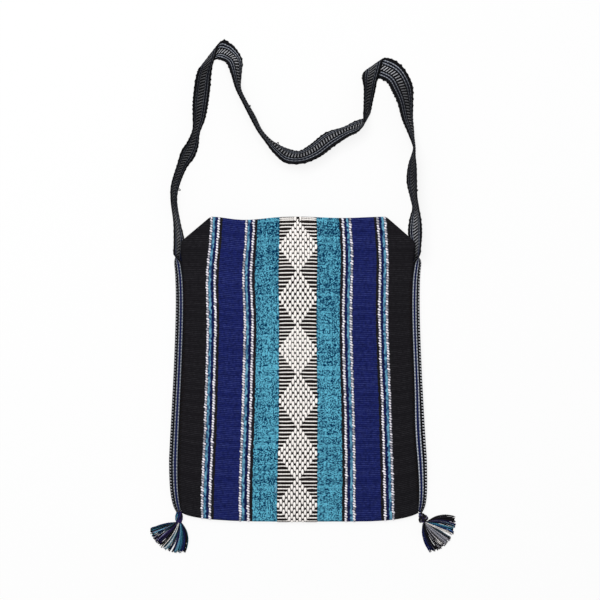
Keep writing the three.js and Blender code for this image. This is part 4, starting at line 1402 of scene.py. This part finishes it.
def stray_loops():
    """Half ellipses: from the selvage out to the tip like a sine, along the selvage like a cosine."""
    selvages = sheet[:, [0, -1]].reshape(-1, 3)
    nearest = np.linalg.norm(selvages[None, :, :2] - STRAY_TIPS[:, None], axis=-1).argmin(1)
    out = np.pad(STRAY_TIPS - selvages[nearest, :2], ((0, 0), (0, 1)))
    beside = STRAY_HALF * np.cross(UP, unit(out))
    turn = np.pi * stray_t[:, None]
    return selvages[nearest][:, None] + out[:, None] * np.sin(turn) - beside[:, None] * np.cos(turn)


def lying_thread(u, swing, bends, v, length, lift, arch):
    """A thread along the cloth that swings across as a sine and arches off it as half a sine."""
    across = u + swing * np.sin(bends * stray_t)
    return cloth_point(across, v + length * stray_t, lift + arch * np.sin(np.pi * stray_t))


threads = np.stack([lying_thread(**MOUTH_END), lying_thread(**PULLED_OUT)])
loops = carry(stray_loops(), UP, STRAY_THICK, STRAY_THICK, STRAY_SIDES)
groups = [
    (loops, dyed(["charcoal"] * len(STRAY_TIPS))),
    (carry(threads, UP, THREAD_WIDE, STRAY_THICK, STRAY_SIDES), dyed(["charcoal", "sky"])),
]
add_yarn("loose_threads", groups)

# %% [markdown]
# ## Bundles for the knots
# Below each bottom corner the band's warp ends are gathered and tied. A knot drawn tight is a bundle of yarns
# that follows a short curve, each yarn winding round the bundle's middle. So one helper winds yarns round any
# curve, and another gives the knot's first point. Lengths and directions are those of the solids.

# %% Bundles of yarn
KNOT_LENGTH = 11.5
KNOT_NECK = 2.8
KNOT_GAP = 0.3
LEFT_KNOT_ANGLE = -92.0
RIGHT_KNOT_ANGLE = -63.0


def heading(degrees):
    """The direction on the table at an angle from +X: its cosine along X and its sine along Y."""
    angle = np.radians(np.asarray(degrees, float))
    return np.stack([np.cos(angle), np.sin(angle), 0 * angle], -1)


def knot_start(side, degrees):
    """The knot's first point: off the band's end, further off the more the knot is tipped."""
    tipped_back = (KNOT_NECK + BAND / 2) * abs(np.cos(np.radians(degrees)))
    return band_end(side) + heading(degrees) * (KNOT_GAP + tipped_back)


def wound(middle, yarns, radius, turns, phase=0.0):
    """Yarns that wind round a middle line: each is that line plus a circle whose angle grows along it."""
    t = np.linspace(0, 1, len(middle))
    tangent = unit(np.gradient(middle, axis=0))
    side = unit(np.cross(tangent, UP))
    rise = np.cross(tangent, side)
    angle = 2 * np.pi * (turns * t[None] + np.arange(yarns)[:, None] / yarns) + phase
    return middle + radius * (np.cos(angle)[..., None] * side + np.sin(angle)[..., None] * rise)


print("knots start at", np.round(knot_start(-1, LEFT_KNOT_ANGLE)), np.round(knot_start(1, RIGHT_KNOT_ANGLE)))

# %% [markdown]
# ## The left knot
# On the left the ends part into two small bundles with an eye between them, and they are bound again below by
# a few turns of plum yarn. One lump with a twisted pattern could stand for it, but then the eye would be
# filled, so the yarns of each bundle are carried one by one.

# %% Left knot
KNOT_SIDES = 7
YARN_WIDE = 0.85
YARN_HIGH = 0.75
PAIR_SPAN = (-0.12, 1.05, 22)  # shares of the knot's length, and steps
PAIR_APART = 1.3
PAIR_CROSSING = (0.3, 3)  # how far the bundles rise and fall past each other
PAIR_TWIST = 3.0
PAIR_WIDE = 0.82
PAIR_HIGH = 0.68
PAIR_BUNDLE = (5, 1.3, 0.8)  # yarns, radius and turns
LEFT_CORE = (4, 1.0, 0.5)
LEFT_CORE_STEPS = 12
WRAP_TURNS = 3.2
WRAP_STEPS = 60
WRAP_SPAN = (0.78, 0.085)  # where the wraps start, and how far a turn climbs, in knot lengths
WRAP_RADIUS = 2.75
WRAP_YARN = 0.7
PAIR_YARNS = ["teal", "black", "slate", "teal", "navy", "plum", "black", "plum", "navy", "plum"]


def left_knot_yarns():
    """Two bundles that bow apart like a sine, and a helix of wraps where they meet again."""
    start = knot_start(-1, LEFT_KNOT_ANGLE)
    ahead, across = heading(LEFT_KNOT_ANGLE), heading(LEFT_KNOT_ANGLE + 90)
    t = np.linspace(*PAIR_SPAN)[:, None]
    bundles = []
    for part in (-1.0, 1.0):
        bow = part * (PAIR_APART + PAIR_APART * np.sin(np.pi * np.clip(t, 0, 1)))
        crossing = PAIR_CROSSING[0] * part * np.cos(PAIR_CROSSING[1] * t)
        middle = start + ahead * KNOT_LENGTH * t + across * bow + UP * crossing
        bundles.append(wound(middle, *PAIR_BUNDLE, part))
    core = np.linspace(start - ahead, start + ahead * KNOT_LENGTH, LEFT_CORE_STEPS)
    turn = np.linspace(0, WRAP_TURNS, WRAP_STEPS)
    around = np.cos(2 * np.pi * turn)[:, None] * across + np.sin(2 * np.pi * turn)[:, None] * UP
    climbed = (KNOT_LENGTH * (WRAP_SPAN[0] + WRAP_SPAN[1] * turn))[:, None]
    wraps = start + ahead * climbed + WRAP_RADIUS * around
    return np.concatenate(bundles), wound(core, *LEFT_CORE), wraps[None]


pair, inside, wraps = left_knot_yarns()
groups = [
    (carry(pair, UP, PAIR_WIDE, PAIR_HIGH, KNOT_SIDES, PAIR_TWIST), dyed(PAIR_YARNS)),
    (carry(inside, UP, YARN_WIDE, YARN_HIGH, KNOT_SIDES), dyed(["black", "charcoal", "navy", "black"])),
    (carry(wraps, UP, WRAP_YARN, WRAP_YARN, KNOT_SIDES), dyed(["plum"])),
]
left_knot = add_yarn("left_knot_yarn", groups)
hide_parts("left_knot")

# %% [markdown]
# ## The right knot
# On the right the ends are tied in a round overhand knot. A grooved ball would be quicker, but its outline
# would be too smooth. The knot's curve is a trefoil, the simplest one that can't be undone without its ends,
# and flattened it makes the three lobes that show.

# %% Right knot
LOBE = 1.5  # size of the trefoil, across and up
LOBE_STEPS = 61
LOBE_BUNDLE = (4, 1.15, 3.0)
RIGHT_CORE = (5, 1.5, 0.6)
RIGHT_CORE_STEPS = 16
RIGHT_CORE_PAST = 0.5  # the core reaches this far past the knot


def right_knot_yarns():
    """A bundle along a flattened trefoil: cos t - 2 cos 2t ahead, sin t + 2 sin 2t across, -sin 3t up."""
    start = knot_start(1, RIGHT_KNOT_ANGLE)
    ahead, across = heading(RIGHT_KNOT_ANGLE), heading(RIGHT_KNOT_ANGLE + 90)
    t = np.linspace(0, 2 * np.pi, LOBE_STEPS)[:, None]
    centre = start + ahead * KNOT_LENGTH / 2
    lobes = ahead * (np.cos(t) - 2 * np.cos(2 * t)) + across * (np.sin(t) + 2 * np.sin(2 * t))
    middle = centre + LOBE * lobes - UP * LOBE * np.sin(3 * t)
    core = np.linspace(start - ahead, start + ahead * (KNOT_LENGTH + RIGHT_CORE_PAST), RIGHT_CORE_STEPS)
    return wound(middle, *LOBE_BUNDLE), wound(core, *RIGHT_CORE)


loops, inside = right_knot_yarns()
core_yarns = ["black", "charcoal", "plum", "black", "navy"]
groups = [
    (carry(loops, UP, YARN_WIDE, YARN_HIGH, KNOT_SIDES), dyed(["black", "dusk", "charcoal", "black"])),
    (carry(inside, UP, YARN_WIDE, YARN_HIGH, KNOT_SIDES), dyed(core_yarns)),
]
right_knot = add_yarn("right_knot_yarn", groups)
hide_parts("right_knot")

# %% [markdown]
# ## Tassels
# The loose ends fan out over the table. Each yarn leaves the knot, spreads to its own direction and bows back
# towards the knot's heading, and later yarns lie on earlier ones. Hair particles would do for a thick fringe,
# but here each of the yarns is seen. Yarns of one colour stay together, as they do when a striped band is
# cut, so the colours are listed round the fan.

# %% Tassel yarns
TASSEL_LENGTH = 35.5
TASSEL_SHORTEST = 0.88
TASSEL_STEPS = 14
TASSEL_YARNS = 150
TASSEL_YARN = 0.68
TASSEL_DEPTH = 4.2  # height of the heap of yarns at the knot
TASSEL_THINS = 0.55  # and by how much of it the heap is lower at the tips
SETTLES = 2.2  # the heap is settled after one part in so many
BOW_STRAY = 0.7
GAP_PUSH = 1.8  # degrees
GAP_RUN = 6
LEFT_TASSEL = {"fan": (-169.0, -75.0), "bows": (0.8, 4.2), "gap": -106.0, "seed": 11}
RIGHT_TASSEL = {"fan": (-82.0, 12.0), "bows": (4.0, 3.5), "gap": -27.0, "seed": 23}


def tassel_yarns(root, knot_degrees, fan, bows, gap, seed):
    """Yarns as arcs: out along their own direction by length * t, bowed to one side by 4 t (1 - t).

    Directions are spread over the fan, and across it the bow goes from the first of the two bows, to one
    side, to the second, to the other. Yarns near the gap are pushed away from it by a bell curve.
    """
    draw = np.random.default_rng(seed)
    share = (np.arange(TASSEL_YARNS) + draw.uniform(0.0, 1.0, TASSEL_YARNS)) / TASSEL_YARNS
    degrees = fan[0] + (fan[1] - fan[0]) * share
    degrees = degrees + GAP_PUSH * np.sign(degrees - gap) * bell(degrees, gap, GAP_RUN)
    length = TASSEL_LENGTH * draw.uniform(TASSEL_SHORTEST, 1.0, TASSEL_YARNS)
    layer = draw.uniform(0.0, 1.0, TASSEL_YARNS)
    t = np.linspace(0, 1, TASSEL_STEPS)[None, :, None]
    bow = (bows[0] + bows[1]) * share - bows[0] + draw.normal(0, BOW_STRAY, TASSEL_YARNS)
    ahead, across = heading(degrees)[:, None], heading(degrees + 90)[:, None]
    bundle = heading(knot_degrees + 90) * (KNOT_NECK * (2 * share - 1))[:, None]
    flat = root + bundle[:, None] * (1 - t) + ahead * (length[:, None, None] * t)
    flat = flat + across * bow[:, None, None] * 4 * t * (1 - t)
    round_neck = np.sqrt(np.maximum(0, 1 - (2 * share - 1) ** 2))
    from_neck = root[2] + KNOT_NECK * round_neck * (2 * layer - 1)
    on_table = TASSEL_YARN + TASSEL_DEPTH * layer[:, None] * (1 - TASSEL_THINS * t[..., 0])
    settled = np.minimum(1, SETTLES * t[..., 0])
    flat[..., 2] = from_neck[:, None] + (on_table - from_neck[:, None]) * settled
    return flat, share


print(f"tassels of {TASSEL_YARNS} yarns, {TASSEL_LENGTH} mm long")

# %% [markdown]
# ## Colours round the fan
# Every yarn takes the colour at its share of the fan, give or take a neighbour, so the colours change in
# uneven strands. Dark yarns lie between the others everywhere, and each yarn has a brightness of its own.

# %% Tassel pieces
DARK_SHARE = 0.22
COLOUR_STRAY = 1.1
SHADES = (0.45, 1.3)
YARN_TURNS = 5.0
YARN_SIDES = 6
YARN_FLAT = 0.7
LEFT_COLOURS = [
    "black", "navy", "teal", "black", "sky", "teal", "lilac", "white", "navy", "plum", "plum", "lilac",
    "plum", "navy", "black", "black", "black", "plum", "white", "black", "sky", "white", "sky", "teal",
    "black", "navy", "grey", "plum", "navy", "black", "teal", "sky", "teal", "navy", "black", "black",
    "navy", "black", "teal",
]
RIGHT_COLOURS = [
    "navy", "plum", "navy", "black", "grey", "black", "charcoal", "grey", "lilac", "black", "white", "black",
    "grey", "slate", "black", "grey", "black", "slate", "dusk", "white", "black", "blue", "blue", "sky",
    "teal", "sky", "plum", "dusk", "plum", "plum", "black", "dusk", "black",
]


def add_tassel(side, node, knot_degrees, colours, shape):
    """One tassel at the end of its knot, in place of its solid.

    A yarn's colour is the one at its share of the list, give or take a random stray.
    """
    root = knot_start(side, knot_degrees) + heading(knot_degrees) * (KNOT_LENGTH + KNOT_GAP)
    paths, share = tassel_yarns(root, knot_degrees, **shape)
    draw = np.random.default_rng(shape["seed"] + 1)
    place = share * len(colours) + draw.normal(0, COLOUR_STRAY, len(share))
    names = [colours[int(at)] for at in np.clip(place, 0, len(colours) - 1)]
    names = np.where(draw.random(len(share)) < DARK_SHARE, "black", names)
    yarns = carry(paths, UP, TASSEL_YARN, YARN_FLAT * TASSEL_YARN, YARN_SIDES, YARN_TURNS)
    tones = dyed(names, draw.uniform(*SHADES, len(names)))
    tassel = add_yarn(node + "_yarn", [(yarns, tones)])
    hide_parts(node)
    return tassel


left_tassel = add_tassel(-1, "left_tassel", LEFT_KNOT_ANGLE, LEFT_COLOURS, LEFT_TASSEL)
right_tassel = add_tassel(1, "right_tassel", RIGHT_KNOT_ANGLE, RIGHT_COLOURS, RIGHT_TASSEL)

# %% [markdown]
# ## Flat sizes of the cloth and the band
# The cloth and the band are sheets that were woven flat. Their flat sizes are the width across the warps and
# the length from end to end, before the cloth was folded and the band was sewn in and laid down.

BAND_LENGTH * MM
print(f"flat: cloth {2 * SEAM:.0f} x {CLOTH_LENGTH:.0f} mm, band {BAND_WIDTH:.0f} x {BAND_LENGTH:.0f} mm")

# %% [markdown]
# ## The table
# A white table fills the picture. To the camera it is nearly all plain white, with a little of its lit
# surface mixed in, so the bag's shadow stays without the table turning grey.

# %% Table
FLOOR_SIDE = 12000.0
FLOOR_DROP = 0.4
SHADOW_SHARE = 0.14
PAINT = (0.86, 0.86, 0.86, 1.0)
PAINT_ROUGHNESS = 0.9


def white_table():
    """Matt paint, mixed with plain white light for the rays that show the table to the camera."""
    material = bpy.data.materials.new("white_table")
    material.use_nodes = True
    tree = material.node_tree
    start = Socket(tree)
    paint = tree.nodes["Principled BSDF"]
    paint.inputs["Base Color"].default_value = PAINT
    paint.inputs["Roughness"].default_value = PAINT_ROUGHNESS
    paint.inputs["Specular IOR Level"].default_value = 0.0
    kinds = ("Camera", "Glossy", "Transmission")
    rays = [start.node("ShaderNodeLightPath", None, None, f"Is {kind} Ray") for kind in kinds]
    seen = start.math("MINIMUM", sum(rays[1:], rays[0]), 1.0)
    glow = start.node("ShaderNodeEmission", None, {"Strength": 1.0})
    lit = Socket(tree, paint.outputs[0])
    share = seen * (1 - SHADOW_SHARE)
    mixed = start.node("ShaderNodeMixShader", None, {0: share, 1: lit, 2: glow})
    start.feed(mixed, tree.nodes["Material Output"].inputs["Surface"])
    return material


half = FLOOR_SIDE / 2
corner = np.array([[-half, -half], [half, -half], [half, half], [-half, half]]) * MM
table_mesh = bpy.data.meshes.new("table")
table_mesh.from_pydata([(x, y, -FLOOR_DROP * MM) for x, y in corner], [], [(0, 1, 2, 3)])
table_mesh.materials.append(white_table())
table = bpy.data.objects.new("table", table_mesh)
bpy.context.scene.collection.objects.link(table)
table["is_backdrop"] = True
print(f"table {FLOOR_SIDE * MM:.0f} m wide")

# %% [markdown]
# ## The light
# An even white sky lights the bag from all sides, and one large soft lamp from the upper left brings out the
# ribs. Both are at a level where a colour looks about as it was written.

# %% Light
SKY = 0.45
LAMP_POWER = 42.0
LAMP_SIDE = 1.4  # the lamp's size and place are in metres
LAMP_PLACE = (-0.45, 0.8, 2.2)

world = bpy.data.worlds.new("sky")
world.use_nodes = True
sky = world.node_tree.nodes["Background"]
sky.inputs["Color"].default_value = (1.0, 1.0, 1.0, 1.0)
start = Socket(world.node_tree)
seen = start.node("ShaderNodeLightPath", None, None, "Is Camera Ray")
start.feed(SKY + (1 - SKY) * seen, sky.inputs["Strength"])
bpy.context.scene.world = world
lamp = bpy.data.objects.new("lamp", bpy.data.lights.new("lamp", "AREA"))
lamp.data.energy = LAMP_POWER
lamp.data.size = LAMP_SIDE
lamp.location = LAMP_PLACE
aim = camera.location.copy()
aim.z = 0.0
lamp.rotation_mode = "QUATERNION"
lamp.rotation_quaternion = (aim - lamp.location).to_track_quat("-Z", "Y")
bpy.context.scene.collection.objects.link(lamp)
bpy.context.scene.view_settings.view_transform = "Standard"
print(f"sky {SKY}, lamp {LAMP_POWER} W")

# %% [markdown]
# ## Sizes
# Dressing the solids must not change the bag's size. So the box of the solids and the box of the dressed bag
# are printed side by side.

# %% Sizes of the solids and the dressed bag
sizes = {"cad": [list(corner) for corner in cad_box], "visual": [list(corner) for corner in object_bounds()]}
print("sizes:", sizes)
